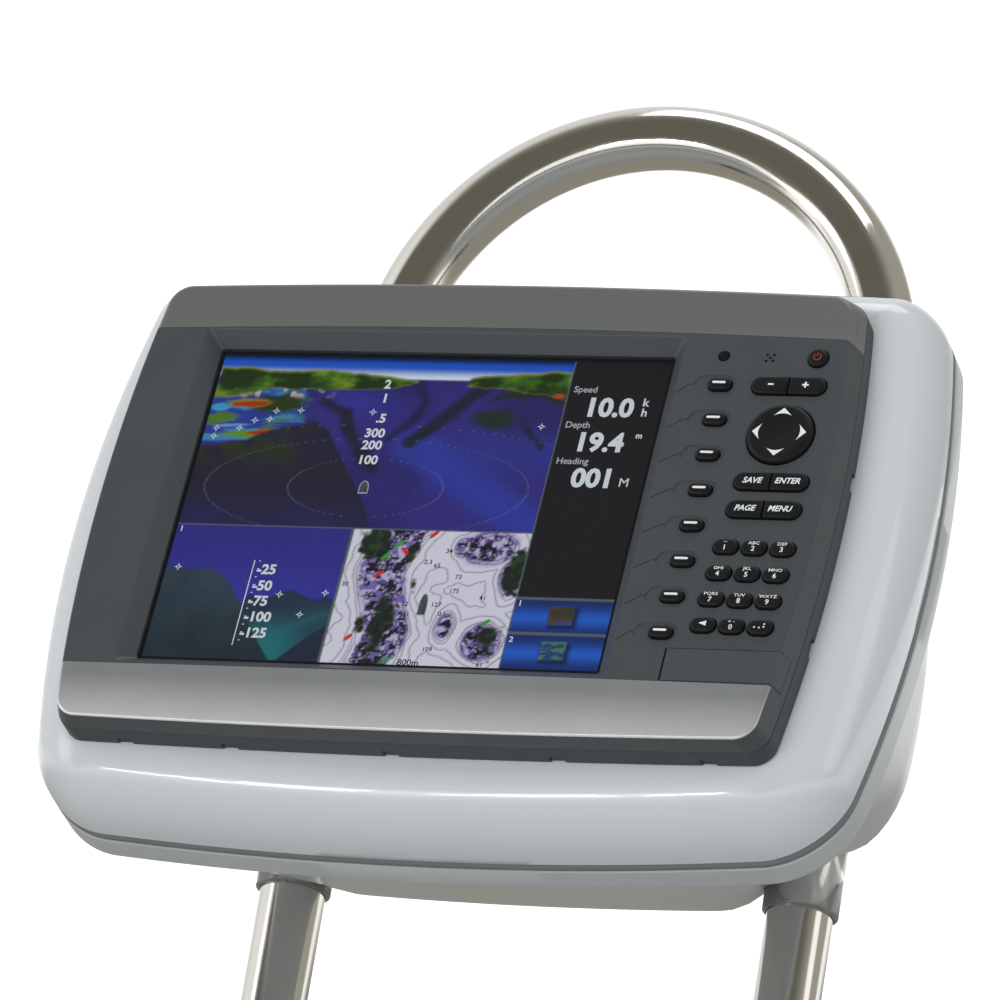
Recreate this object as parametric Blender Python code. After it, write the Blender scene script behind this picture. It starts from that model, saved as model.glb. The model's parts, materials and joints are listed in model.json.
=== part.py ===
"""Fish finder head in a two-part pod on a stainless guard, as separate named pieces.

Metres, +Z up, the screen looks toward -Y. Everything that belongs to the pod is laid out in
the face frame (x right, y up along the leaning face, z out of the face, origin in the middle
of the display's height and of the head's width) and then turned and lifted into the world.
"""
import math

import bmesh
import bpy
from mathutils import Matrix, Vector

MM = 0.001
GAP = 0.3 * MM                 # clearance between touching pieces

# guard tube
TUBE_D = 30.0 * MM
TUBE_WALL = 2.0 * MM
LEG_SPAN = 242.6 * MM
GUARD_LEAN = math.radians(26.0)
LEG_STRAIGHT = 330.0 * MM      # leaning part of a leg, below the middle of the arch
BEND_R = 100.0 * MM
LEG_UPRIGHT = 70.0 * MM
ARCH_UP = 165.7 * MM           # middle of the arch in the face frame
ARCH_BACK = 144.4 * MM

# pod
FACE_LEAN = math.radians(36.8)
POD_HALF_W = 198.7 * MM
POD_TOP = 142.0 * MM
POD_BOTTOM = -146.5 * MM
POD_CORNER = (20.0 * MM, 32.0 * MM)   # upper, lower
POD_WIDEST = 5.0 * MM
POD_WALL = 4.0 * MM
POD_FACE_Z = -15.3 * MM
SPLIT_Z = -53.5 * MM
GASKET_T = 5.0 * MM
LIP_DEPTH = 15.0 * MM
REAR_GAP = 28.0 * MM           # outside of the rear wall behind the tube's middle

# head
HEAD_HALF_W = 167.4 * MM
HEAD_TOP = 113.2 * MM
HEAD_BOTTOM = -117.2 * MM
HEAD_CORNER = 9.0 * MM
FRONT_Z = 8.0 * MM
BACK_Z = -4.0 * MM
FLANGE_Z = -15.0 * MM
FLANGE_GROW = 3.6 * MM
CASE_HALF_W = 149.0 * MM
CASE_HALF_H = 99.0 * MM
CASE_DEPTH = 85.0 * MM
CASE_WALL = 3.0 * MM

# display
SCREEN_X = -25.0 * MM
WINDOW_W = 214.0 * MM
WINDOW_H = 162.0 * MM
RECESS_W = 227.4 * MM
RECESS_H = 175.2 * MM
LENS_Z = 0.5 * MM
LENS_T = 1.5 * MM
LCD_T = 6.0 * MM

# keys
KEY_TOP_Z = 9.8 * MM
KEY_FOOT_Z = 3.3 * MM
KEY_FIT = 0.35 * MM
MAT_Z = 1.8 * MM
MAT_T = 2.0 * MM
SKIN = 3.5 * MM                # thickness of the fascia over the key pocket
SOFT_N = 8
SOFT_PITCH = 18.1 * MM
SOFT_SIZE = (11.0 * MM, 6.2 * MM)
PAD_PITCH_X = 12.9 * MM
PAD_PITCH_Y = 13.2 * MM
PAD_SIZE = (11.6 * MM, 7.4 * MM)
PILL_W = 34.0 * MM
PILL_H = 8.8 * MM
ROCKER_R = 15.0 * MM

# card door
DOOR_LEFT = 112.8 * MM
DOOR_TOP = -72.0 * MM
DOOR_BOTTOM = -87.8 * MM
DOOR_T = 3.0 * MM

# feet
FOOT_R = 36.0 * MM
FOOT_T = 8.0 * MM
SOCKET_R = 20.0 * MM
SOCKET_H = 42.0 * MM

# the face frame in the world
ARCH_WORLD = Vector((0.0,
                     BEND_R * (1.0 - math.cos(GUARD_LEAN)) + LEG_STRAIGHT * math.sin(GUARD_LEAN),
                     FOOT_T + GAP + LEG_UPRIGHT + BEND_R * math.sin(GUARD_LEAN)
                     + LEG_STRAIGHT * math.cos(GUARD_LEAN)))
FACE_TURN = Matrix(((1.0, 0.0, 0.0),
                    (0.0, math.sin(FACE_LEAN), -math.cos(FACE_LEAN)),
                    (0.0, math.cos(FACE_LEAN), math.sin(FACE_LEAN))))
FACE_ORIGIN = ARCH_WORLD - FACE_TURN @ Vector((0.0, ARCH_UP, -ARCH_BACK))
FACE = Matrix.Translation(FACE_ORIGIN) @ FACE_TURN.to_4x4()
TILT = FACE_LEAN - GUARD_LEAN  # guard against face, in the face frame


def clear_scene():
    for obj in list(bpy.data.objects):
        bpy.data.objects.remove(obj, do_unlink=True)


def material(name, colour, rough, metal=0.0, alpha=1.0):
    mat = bpy.data.materials.get(name)
    if mat is None:
        mat = bpy.data.materials.new(name)
        mat.use_nodes = True
        shader = mat.node_tree.nodes["Principled BSDF"]
        shader.inputs["Base Color"].default_value = (colour[0], colour[1], colour[2], 1.0)
        shader.inputs["Roughness"].default_value = rough
        shader.inputs["Metallic"].default_value = metal
        shader.inputs["Alpha"].default_value = alpha
    return mat


def body(name, rings, mat, matrix=FACE, loop=False, smooth=True):
    """A closed body skinned over equal rings, capped at both ends or joined end to end."""
    bm = bmesh.new()
    rows = [[bm.verts.new(p) for p in ring] for ring in rings]
    count = len(rows[0])
    pairs = list(zip(rows[:-1], rows[1:]))
    if loop:
        pairs.append((rows[-1], rows[0]))
    for low, high in pairs:
        for i in range(count):
            j = (i + 1) % count
            bm.faces.new((low[i], low[j], high[j], high[i]))
    if not loop:
        bm.faces.new(rows[0])
        bm.faces.new(rows[-1])
    bmesh.ops.transform(bm, matrix=matrix, verts=bm.verts)
    bmesh.ops.recalc_face_normals(bm, faces=bm.faces)
    mesh = bpy.data.meshes.new(name)
    bm.to_mesh(mesh)
    bm.free()
    obj = bpy.data.objects.new(name, mesh)
    bpy.context.scene.collection.objects.link(obj)
    if mat is not None:
        mesh.materials.append(mat)
    if smooth:
        mesh.shade_smooth()
        mesh.set_sharp_from_angle(angle=math.radians(32.0))
    return obj


def cutter(name, rings, matrix=FACE, loop=False):
    obj = body(name, rings, None, matrix=matrix, loop=loop, smooth=False)
    obj.hide_render = True
    obj.display_type = "WIRE"
    return obj


def carve(obj, tools, operation="DIFFERENCE"):
    """Apply the cutters one after another and drop them."""
    for tool in tools:
        mod = obj.modifiers.new("cut", "BOOLEAN")
        mod.operation = operation
        mod.solver = "EXACT"
        mod.object = tool
        with bpy.context.temp_override(object=obj, active_object=obj):
            bpy.ops.object.modifier_apply(modifier=mod.name)
    for tool in tools:
        bpy.data.objects.remove(tool, do_unlink=True)


def tidy(obj):
    """Merge the slivers a cut leaves and turn every face into triangles."""
    bm = bmesh.new()
    bm.from_mesh(obj.data)
    bmesh.ops.remove_doubles(bm, verts=bm.verts, dist=2e-5)
    bmesh.ops.dissolve_degenerate(bm, edges=bm.edges, dist=1e-6)
    bmesh.ops.dissolve_limit(bm, angle_limit=0.002, verts=bm.verts, edges=bm.edges)
    bmesh.ops.triangulate(bm, faces=bm.faces)
    bm.to_mesh(obj.data)
    bm.free()
    obj.data.shade_smooth()
    obj.data.set_sharp_from_angle(angle=math.radians(32.0))


def barrel(half_w, top, bottom, corner, sag_x, sag_top, sag_bottom, z, inset=0.0, widest=None):
    """Rounded rectangle whose four sides bulge; z is a number or a function of y.

    corner is one radius or a pair (upper, lower); widest is the height of the sides' belly.
    """
    side = 6
    arc = 5
    half_w -= inset
    top -= inset
    bottom += inset
    if not isinstance(corner, tuple):
        corner = (corner, corner)
    radius = {1: max(corner[0] - inset, 0.8 * MM), -1: max(corner[1] - inset, 0.8 * MM)}
    mid = 0.5 * (top + bottom)
    half_h = 0.5 * (top - bottom)
    belly = mid if widest is None else widest
    corners = ((1, 1, 0.0), (-1, 1, 90.0), (-1, -1, 180.0), (1, -1, 270.0))
    pts = []
    for k, (sx, sy, start) in enumerate(corners):
        r = radius[sy]
        for i in range(arc + 1):
            a = math.radians(start + 90.0 * i / arc)
            pts.append((sx * (half_w - r) + r * math.cos(a),
                        mid + sy * (half_h - r) + r * math.sin(a)))
        nx, ny, nstart = corners[(k + 1) % 4]
        a = math.radians(nstart)
        r = radius[ny]
        end = (nx * (half_w - r) + r * math.cos(a), mid + ny * (half_h - r) + r * math.sin(a))
        last = pts[-1]
        for i in range(1, side):
            t = i / side
            pts.append((last[0] + (end[0] - last[0]) * t, last[1] + (end[1] - last[1]) * t))
    out = []
    for x, y in pts:
        u = x / half_w
        v = (y - mid) / half_h
        w = (y - belly) / half_h
        bulge = sag_top if v > 0.0 else sag_bottom
        px = x * (1.0 - (sag_x / half_w) * w * w)
        py = mid + (y - mid) * (1.0 - (bulge / half_h) * u * u)
        out.append((px, py, z(py) if callable(z) else z))
    return out


def pod_ring(z, inset=0.0, half_w=None, top=None, bottom=None, corner=None, sag=10.0 * MM):
    return barrel(POD_HALF_W if half_w is None else half_w, POD_TOP if top is None else top,
                  POD_BOTTOM if bottom is None else bottom,
                  POD_CORNER if corner is None else corner,
                  16.0 * MM, 4.0 * MM, sag, z, inset, POD_WIDEST)


def head_ring(z, inset=0.0):
    t = (FRONT_Z - z) / (FRONT_Z - BACK_Z)
    t = min(max(t, 0.0), 1.0)
    return barrel(HEAD_HALF_W + FLANGE_GROW * t, HEAD_TOP + FLANGE_GROW * t, HEAD_BOTTOM,
                  HEAD_CORNER, 8.0 * MM, 3.2 * MM, 2.2 * MM, z, inset)


def rect(x0, x1, y0, y1, z, corner=1.0 * MM, arc=2):
    pts = []
    for cx, cy, start in ((x1, y1, 0.0), (x0, y1, 90.0), (x0, y0, 180.0), (x1, y0, 270.0)):
        ox = cx - corner if cx == x1 else cx + corner
        oy = cy - corner if cy == y1 else cy + corner
        for i in range(arc + 1):
            a = math.radians(start + 90.0 * i / arc)
            pts.append((ox + corner * math.cos(a), oy + corner * math.sin(a), z))
    return pts


def disc(cx, cy, r, z, n=16):
    return [(cx + r * math.cos(2.0 * math.pi * i / n), cy + r * math.sin(2.0 * math.pi * i / n), z)
            for i in range(n)]


def oval(cx, cy, w, h, z, n=12):
    """Stadium outline, w wide and h high."""
    r = 0.5 * h
    reach = 0.5 * w - r
    half = n // 2
    pts = []
    for side, start in ((1, -90.0), (-1, 90.0)):
        for i in range(half):
            a = math.radians(start + 180.0 * i / (half - 1))
            pts.append((cx + side * reach + r * math.cos(a), cy + r * math.sin(a), z))
    return pts


def half_pill(cx, cy, w, h, side, z):
    """One half of a stadium split down the middle: round outside, straight inside."""
    r = 0.5 * h
    flat = 0.5 * GAP
    pts = []
    for i in range(8):
        a = math.radians(-90.0 + 180.0 * i / 7)
        pts.append((cx + side * (0.5 * w - r + r * math.cos(a)), cy + r * math.sin(a), z))
    pts.append((cx + side * flat, cy + r, z))
    pts.append((cx + side * flat, cy - r, z))
    return pts


def edge_x(y):
    """Right edge of the head's front at a height."""
    mid = 0.5 * (HEAD_TOP + HEAD_BOTTOM)
    v = (y - mid) / (0.5 * (HEAD_TOP - HEAD_BOTTOM))
    return HEAD_HALF_W - 8.0 * MM * v * v


def guard_z(y):
    """Depth of the guard's plane in the face frame."""
    return -ARCH_BACK + math.tan(TILT) * (y - ARCH_UP)


def rear_z(y):
    return guard_z(y) - REAR_GAP / math.cos(TILT)


def soft_keys():
    rows = []
    for i in range(SOFT_N):
        y = -0.9 * MM + SOFT_PITCH * (0.5 * (SOFT_N - 1) - i)
        rows.append(("soft_key_%d" % (i + 1), edge_x(y) - 56.2 * MM, y, "oval", SOFT_SIZE))
    return rows


def pad_keys():
    names = ("1", "2", "3", "4", "5", "6", "7", "8", "9", "back", "0", "note")
    rows = []
    for i, label in enumerate(names):
        r = i // 3
        c = i % 3
        y = -20.6 * MM - PAD_PITCH_Y * r - 0.25 * MM * c
        x = edge_x(y) - 25.4 * MM + PAD_PITCH_X * (c - 1)
        rows.append(("pad_key_" + label, x, y, "oval", PAD_SIZE))
    return rows


def pill_keys():
    rows = []
    for left, right, x, y in (("minus_key", "plus_key", 140.3 * MM, 62.2 * MM),
                              ("save_key", "enter_key", 142.4 * MM, 12.8 * MM),
                              ("page_key", "menu_key", 142.0 * MM, -1.4 * MM)):
        rows.append((left, x, y, "left", (PILL_W, PILL_H)))
        rows.append((right, x, y, "right", (PILL_W, PILL_H)))
    return rows


def all_keys():
    power = ("power_key", 150.6 * MM, 77.0 * MM, "round", (9.0 * MM, 9.0 * MM))
    return soft_keys() + [power] + pill_keys() + pad_keys()


ROCKER_X = 141.6 * MM
ROCKER_Y = 37.2 * MM


def key_outline(key, z, grow=0.0):
    name, x, y, kind, size = key
    w = size[0] + 2.0 * grow
    h = size[1] + 2.0 * grow
    if kind == "round":
        return disc(x, y, 0.5 * w, z, 12)
    if kind == "oval":
        return oval(x, y, w, h, z)
    return half_pill(x, y, w, h, -1 if kind == "left" else 1, z)


def cap_material():
    return material("key_rubber", (0.030, 0.031, 0.034), 0.5)


def make_keys():
    mat = cap_material()
    for key in all_keys():
        rings = [key_outline(key, KEY_FOOT_Z), key_outline(key, KEY_TOP_Z - 0.8 * MM),
                 key_outline(key, KEY_TOP_Z, -0.8 * MM)]
        centre = FACE @ Vector((key[1], key[2], KEY_FOOT_Z))
        obj = body(key[0], rings, mat)
        obj.data.transform(Matrix.Translation(-centre))
        obj.location = centre


def make_rocker():
    pad = [disc(ROCKER_X, ROCKER_Y, ROCKER_R, z, 24) for z in (KEY_FOOT_Z + 1.0 * MM, KEY_TOP_Z)]
    pad.append(disc(ROCKER_X, ROCKER_Y, ROCKER_R - 2.2 * MM, KEY_TOP_Z + 0.9 * MM, 24))
    pad.append(disc(ROCKER_X, ROCKER_Y, 7.0 * MM, KEY_TOP_Z + 0.3 * MM, 24))
    rocker = body("rocker_pad", pad, cap_material())
    steel = material("pivot_nylon", (0.55, 0.55, 0.52), 0.45)
    low = MAT_Z + GAP
    high = KEY_FOOT_Z + 1.0 * MM - GAP
    post = [disc(ROCKER_X, ROCKER_Y, r * MM, z, 16)
            for r, z in ((2.2, low), (3.0, low + 0.5 * MM), (3.0, high - 0.4 * MM), (2.2, high))]
    pivot = body("rocker_pivot", post, steel)
    centre = FACE @ Vector((ROCKER_X, ROCKER_Y, 0.5 * (low + high)))
    for obj in (rocker, pivot):
        obj.data.transform(Matrix.Translation(-centre))
        obj.location = centre


def strip_region(sign, z0, gap):
    """Block that takes the top (sign 1) or bottom (sign -1) strip out of the head's front."""
    far = 140.0 * MM
    n = 12
    rings = []
    for z in (z0, FRONT_Z + 6.0 * MM):
        ring = []
        for i in range(n + 1):
            x = (-1.0 + 2.0 * i / n) * (HEAD_HALF_W + 12.0 * MM)
            u = x / HEAD_HALF_W
            if sign > 0:
                y = HEAD_TOP - 23.1 * MM - 3.2 * MM * u * u - gap
            else:
                y = -88.1 * MM - 0.6 * MM * u * u + gap
            ring.append((x, y, z))
        ring.append((HEAD_HALF_W + 12.0 * MM, sign * far, z))
        ring.append((-HEAD_HALF_W - 12.0 * MM, sign * far, z))
        rings.append(ring)
    return rings


def head_slab(name, mat):
    rings = [head_ring(BACK_Z, 0.0), head_ring(FRONT_Z - 1.2 * MM), head_ring(FRONT_Z, 1.0 * MM)]
    return body(name, rings, mat)


STRIP_FLOOR = 3.0 * MM


def make_strips():
    top = head_slab("top_strip", material("strip_grey", (0.13, 0.13, 0.125), 0.45, 0.3))
    carve(top, [cutter("top_region", strip_region(1, STRIP_FLOOR, 0.0))], "INTERSECT")
    tidy(top)
    low = head_slab("bottom_strip", material("strip_silver", (0.42, 0.43, 0.44), 0.38, 0.7))
    carve(low, [cutter("bottom_region", strip_region(-1, STRIP_FLOOR, 0.0))], "INTERSECT")
    tidy(low)


def key_pocket(z0, z1, inset):
    """Hollow behind the keys, its right side parallel to the head's edge."""
    rings = []
    for z in (z0, z1):
        ring = []
        top = 84.5 * MM - inset
        low = -68.5 * MM + inset
        for i in range(9):
            y = low + (top - low) * i / 8
            ring.append((edge_x(y) - 4.2 * MM - inset, y, z))
        ring.append((98.5 * MM + inset, top, z))
        ring.append((98.5 * MM + inset, low, z))
        rings.append(ring)
    return rings


def window_box(w, h, z):
    return rect(SCREEN_X - 0.5 * w, SCREEN_X + 0.5 * w, -0.5 * h, 0.5 * h, z, 1.5 * MM)


def make_fascia():
    mat = material("fascia_grey", (0.050, 0.055, 0.060), 0.48)
    fascia = head_slab("fascia", mat)
    over = 5.0 * MM
    tools = [cutter("cut_top", strip_region(1, STRIP_FLOOR - GAP, GAP)),
             cutter("cut_low", strip_region(-1, STRIP_FLOOR - GAP, GAP)),
             cutter("cut_window", [window_box(WINDOW_W + 2 * GAP, WINDOW_H + 2 * GAP, z)
                                   for z in (BACK_Z - over, FRONT_Z + over)]),
             cutter("cut_recess", [window_box(WINDOW_W + 1.2 * MM, WINDOW_H + 1.2 * MM, LENS_Z),
                                   window_box(RECESS_W, RECESS_H, FRONT_Z),
                                   window_box(RECESS_W, RECESS_H, FRONT_Z + over)]),
             cutter("cut_pocket", key_pocket(BACK_Z - over, FRONT_Z - SKIN, 0.0)),
             cutter("cut_rocker", [disc(ROCKER_X, ROCKER_Y, ROCKER_R + 0.5 * MM, z, 24)
                                   for z in (0.0, FRONT_Z + over)]),
             cutter("cut_sensor", [disc(107.3 * MM, 77.6 * MM, 2.4 * MM + GAP, z, 12)
                                   for z in (0.0, FRONT_Z + over)])]
    for key in all_keys():
        if key[3] in ("left", "right"):
            continue
        tools.append(cutter("cut_" + key[0], [key_outline(key, z, KEY_FIT)
                                              for z in (0.0, FRONT_Z + over)]))
    for key in pill_keys()[::2]:
        ring = [oval(key[1], key[2], PILL_W + 2 * KEY_FIT, PILL_H + 2 * KEY_FIT, z, 16)
                for z in (0.0, FRONT_Z + over)]
        tools.append(cutter("cut_" + key[0], ring))
    for i in range(5):
        a = math.radians(45.0 + 90.0 * i)
        r = 0.0 if i == 4 else 2.2 * MM
        hole = [disc(128.6 * MM + r * math.cos(a), 77.0 * MM + r * math.sin(a), 0.7 * MM, z, 8)
                for z in (0.0, FRONT_Z + over)]
        tools.append(cutter("cut_vent_%d" % i, hole))
    tools += door_cutters()
    carve(fascia, tools)
    tidy(fascia)


def door_profile(y, grow=0.0):
    """Section of the card door: round knuckle at the left, plate, lip round the bevel."""
    r = 0.5 * DOOR_T + grow
    ax = DOOR_LEFT + 0.5 * DOOR_T
    az = FRONT_Z - 0.5 * DOOR_T
    right = edge_x(y)
    back = right + FLANGE_GROW * 0.66
    pts = []
    for i in range(9):
        a = math.radians(270.0 - 180.0 * i / 8)
        pts.append((ax + r * math.cos(a), y, az + r * math.sin(a)))
    pts.append((right - 0.6 * MM, y, FRONT_Z + grow))
    pts.append((right + 0.2 * MM, y, FRONT_Z - 0.9 * MM))
    pts.append((back, y, FRONT_Z - 8.0 * MM))
    pts.append((back - DOOR_T - grow, y, FRONT_Z - 8.0 * MM - grow))
    pts.append((right - DOOR_T - grow, y, FRONT_Z - DOOR_T - grow))
    return pts


def door_cutters():
    seat = []
    for y in (DOOR_BOTTOM - GAP, DOOR_TOP + GAP):
        ring = door_profile(y, GAP)
        right = edge_x(y)
        wide = list(ring[:5])
        wide.append((ring[4][0], y, FRONT_Z + GAP))
        wide.append((right + 20.0 * MM, y, FRONT_Z + GAP))
        wide.append((right + 20.0 * MM, y, FRONT_Z - 4.0 * MM))
        wide.append((right + 20.0 * MM, y, FRONT_Z - 8.0 * MM - GAP))
        wide.append((ring[12][0], y, FRONT_Z - 8.0 * MM - GAP))
        wide.append(ring[13])
        seat.append(wide)
    lift = [rect(DOOR_LEFT + 0.5 * DOOR_T, 190.0 * MM, DOOR_BOTTOM - GAP, DOOR_TOP + GAP, z,
                 0.1 * MM) for z in (FRONT_Z - 0.5 * DOOR_T, FRONT_Z + 5.0 * MM)]
    well = [rect(119.6 * MM, 144.8 * MM, -81.4 * MM, -78.6 * MM, z, 0.3 * MM)
            for z in (BACK_Z - 5.0 * MM, FRONT_Z)]
    return [cutter("cut_door_seat", seat), cutter("cut_door_lift", lift),
            cutter("cut_card_well", well)]


def make_door():
    mat = material("door_grey", (0.060, 0.066, 0.072), 0.5)
    door = body("card_door", [door_profile(y) for y in (DOOR_BOTTOM, DOOR_TOP)], mat)
    ax = DOOR_LEFT + 0.5 * DOOR_T
    az = FRONT_Z - 0.5 * DOOR_T
    bore = [[(ax + 0.85 * MM * math.cos(math.pi * i / 6), y,
              az + 0.85 * MM * math.sin(math.pi * i / 6)) for i in range(12)]
            for y in (DOOR_BOTTOM - 5.0 * MM, DOOR_TOP + 5.0 * MM)]
    carve(door, [cutter("cut_bore", bore)])
    tidy(door)
    axis = FACE @ Vector((ax, 0.5 * (DOOR_TOP + DOOR_BOTTOM), az))
    door.data.transform(Matrix.Translation(-axis))
    door.location = axis
    pin = [[(ax + 0.55 * MM * math.cos(math.pi * i / 5), y,
             az + 0.55 * MM * math.sin(math.pi * i / 5)) for i in range(10)]
           for y in (DOOR_BOTTOM + 0.4 * MM, DOOR_TOP - 0.4 * MM)]
    body("door_pin", pin, material("pin_steel", (0.6, 0.6, 0.6), 0.3, 1.0))


def make_head_inside():
    glass = material("window_glass", (0.02, 0.02, 0.022), 0.05, 0.0, 0.35)
    body("window_lens", [window_box(WINDOW_W, WINDOW_H, LENS_Z - LENS_T),
                         window_box(WINDOW_W, WINDOW_H, LENS_Z)], glass)
    top = LENS_Z - LENS_T - GAP
    body("lcd_panel", [window_box(WINDOW_W, WINDOW_H, top - LCD_T),
                       window_box(WINDOW_W, WINDOW_H, top)],
         material("lcd_dark", (0.015, 0.02, 0.05), 0.3))
    body("keypad_mat", key_pocket(MAT_Z - MAT_T, MAT_Z, GAP),
         material("mat_rubber", (0.05, 0.05, 0.05), 0.8), smooth=False)
    body("sensor_lens", [disc(107.3 * MM, 77.6 * MM, 2.4 * MM, z, 12)
                         for z in (FRONT_Z - SKIN, FRONT_Z + 0.1 * MM)],
         material("sensor_glass", (0.01, 0.01, 0.012), 0.1))
    inner_w = CASE_HALF_W - CASE_WALL - GAP
    inner_h = CASE_HALF_H - CASE_WALL - GAP
    body("main_board", [rect(-inner_w, inner_w, -inner_h, inner_h, z, 8.0 * MM)
                        for z in (-40.0 * MM, -38.4 * MM)],
         material("board_green", (0.02, 0.12, 0.05), 0.5), smooth=False)
    reader = body("card_reader", [rect(118.3 * MM, 145.2 * MM, -86.7 * MM, -73.3 * MM, z)
                                  for z in (-38.0 * MM, BACK_Z - GAP)],
                  material("reader_steel", (0.5, 0.5, 0.5), 0.35, 1.0))
    slot = [rect(120.0 * MM, 144.4 * MM, -81.2 * MM, -78.8 * MM, z, 0.3 * MM)
            for z in (-30.0 * MM, 0.0)]
    carve(reader, [cutter("cut_slot", slot)])
    tidy(reader)


def make_case():
    mat = material("case_black", (0.03, 0.03, 0.032), 0.6)
    w = CASE_HALF_W
    h = CASE_HALF_H
    front = BACK_Z - GAP
    back = -CASE_DEPTH
    t = CASE_WALL

    def ring(inset, z, corner):
        return rect(-w + inset, w - inset, -h + inset, h - inset, z, corner, 3)

    rings = [ring(6.0 * MM, back, 8.0 * MM), ring(2.0 * MM, back + 4.0 * MM, 9.0 * MM),
             ring(0.0, -30.0 * MM, 10.0 * MM), ring(0.0, front, 10.0 * MM),
             ring(t, front, 7.0 * MM), ring(t, -41.0 * MM, 7.0 * MM),
             ring(t + 3.0 * MM, back + t + 2.0 * MM, 7.0 * MM)]
    body("head_case", rings, mat)
    flange = [head_ring(FLANGE_Z), head_ring(BACK_Z - GAP),
              barrel(w + GAP, h + GAP, -h - GAP, 10.0 * MM, 0.0, 0.0, 0.0, BACK_Z - GAP),
              barrel(w + GAP, h + GAP, -h - GAP, 10.0 * MM, 0.0, 0.0, 0.0, FLANGE_Z)]
    body("mounting_flange", flange, material("flange_black", (0.045, 0.048, 0.052), 0.55),
         loop=True)
    socket = material("socket_black", (0.02, 0.02, 0.02), 0.4)
    for name, x, r in (("power_socket", -60.0 * MM, 12.0 * MM), ("data_socket", 20.0 * MM, 10.0 * MM)):
        z0 = back - GAP
        plug = [disc(x, 0.0, r, z0, 20), disc(x, 0.0, r, z0 - 6.0 * MM, 20),
                disc(x, 0.0, r - 2.0 * MM, z0 - 6.5 * MM, 20),
                disc(x, 0.0, r - 2.0 * MM, z0 - 17.0 * MM, 20),
                disc(x, 0.0, r - 3.0 * MM, z0 - 18.0 * MM, 20)]
        body(name, plug, socket)


def make_pod_front():
    mat = material("pod_white", (0.78, 0.80, 0.81), 0.18)
    roll = 24.0 * MM
    rise = POD_FACE_Z - SPLIT_Z - 5.0 * MM
    rings = [pod_ring(SPLIT_Z + GAP, 0.0), pod_ring(SPLIT_Z + 5.0 * MM, 0.0)]
    for i in range(1, 7):
        a = math.radians(90.0 * i / 6)
        rings.append(pod_ring(SPLIT_Z + 5.0 * MM + rise * math.sin(a), roll * (1.0 - math.cos(a))))
    w = CASE_HALF_W + GAP
    h = CASE_HALF_H + GAP
    rings.append(barrel(w, h, -h, 10.0 * MM, 0.0, 0.0, 0.0, POD_FACE_Z))
    rings.append(barrel(w, h, -h, 10.0 * MM, 0.0, 0.0, 0.0, POD_FACE_Z - POD_WALL))
    for i in range(5, -1, -1):
        a = math.radians(90.0 * i / 6)
        rings.append(pod_ring(SPLIT_Z + 5.0 * MM + (rise - POD_WALL) * math.sin(a),
                              POD_WALL + (roll - 1.0 * MM) * (1.0 - math.cos(a))))
    rings.append(pod_ring(SPLIT_Z + GAP, POD_WALL))
    body("pod_front_shell", rings, mat, loop=True)


def make_gasket():
    z0 = SPLIT_Z
    z1 = SPLIT_Z - GASKET_T
    rings = [pod_ring(z1, 1.0 * MM), pod_ring(z0, 1.0 * MM), pod_ring(z0, POD_WALL + 1.5 * MM),
             pod_ring(z1, POD_WALL + 1.5 * MM)]
    body("pod_gasket", rings, material("gasket_grey", (0.12, 0.13, 0.135), 0.7), loop=True)


def rear_ring(f, inset=0.0, lift=0.0):
    """Section of the rear shell between its lip (f=0) and its leaning rear wall (f=1)."""
    front = SPLIT_Z - GASKET_T - LIP_DEPTH - 2.0 * MM
    half_w = POD_HALF_W - 7.0 * MM - 36.0 * MM * f
    top = POD_TOP - 7.0 * MM - 14.0 * MM * f
    bottom = POD_BOTTOM + 6.0 * MM + 66.0 * MM * f

    def depth(y):
        return front + (rear_z(y) - front) * f + lift / math.cos(TILT)

    return pod_ring(depth, inset, half_w, top, bottom, (30.0 * MM, 40.0 * MM), 10.0 * MM - 6.0 * MM * f)


def make_pod_rear():
    z0 = SPLIT_Z - GASKET_T - GAP
    outer = [pod_ring(z0), pod_ring(z0 - LIP_DEPTH + 2.0 * MM), pod_ring(z0 - LIP_DEPTH, 1.2 * MM),
             rear_ring(0.0), rear_ring(0.4)]
    outer += [rear_ring(0.78), rear_ring(0.88, 3.2 * MM), rear_ring(0.96, 11.0 * MM),
              rear_ring(1.0, 24.0 * MM)]
    t = POD_WALL
    inner = [rear_ring(1.0, 24.0 * MM, t), rear_ring(0.93, t + 11.0 * MM),
             rear_ring(0.86, t + 3.6 * MM), rear_ring(0.77, t), rear_ring(0.4, t),
             rear_ring(0.0, t), pod_ring(z0 - LIP_DEPTH + 3.0 * MM, t + 3.0 * MM), pod_ring(z0, t)]
    shell = body("pod_rear_shell", outer[::-1] + inner[::-1],
                 material("pod_rear_white", (0.70, 0.72, 0.73), 0.3))
    tools = []
    for side in (-1, 1):
        for where, at in (("low", 0.0), ("high", 1.0)):
            v0, v1 = ((-310.0, -190.0), (-75.0, 20.0))[int(at)]
            ring = [guard_ring(side, v * MM, COLLAR_R + GAP, 20) for v in (v0, v1)]
            tools.append(cutter("cut_leg_%s_%d" % (where, side), ring))
    carve(shell, tools)
    tidy(shell)


COLLAR_R = 19.4 * MM


def guard_point(v):
    """Point on the guard's middle line in the face frame, v along the guard from the arch."""
    return (ARCH_UP + v * math.cos(TILT), -ARCH_BACK + v * math.sin(TILT))


def guard_ring(side, v, r, n):
    y, z = guard_point(v)
    x = side * 0.5 * LEG_SPAN
    pts = []
    for i in range(n):
        a = 2.0 * math.pi * i / n
        u = r * math.sin(a)
        pts.append((x + r * math.cos(a), y - u * math.sin(TILT), z + u * math.cos(TILT)))
    return pts


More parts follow.
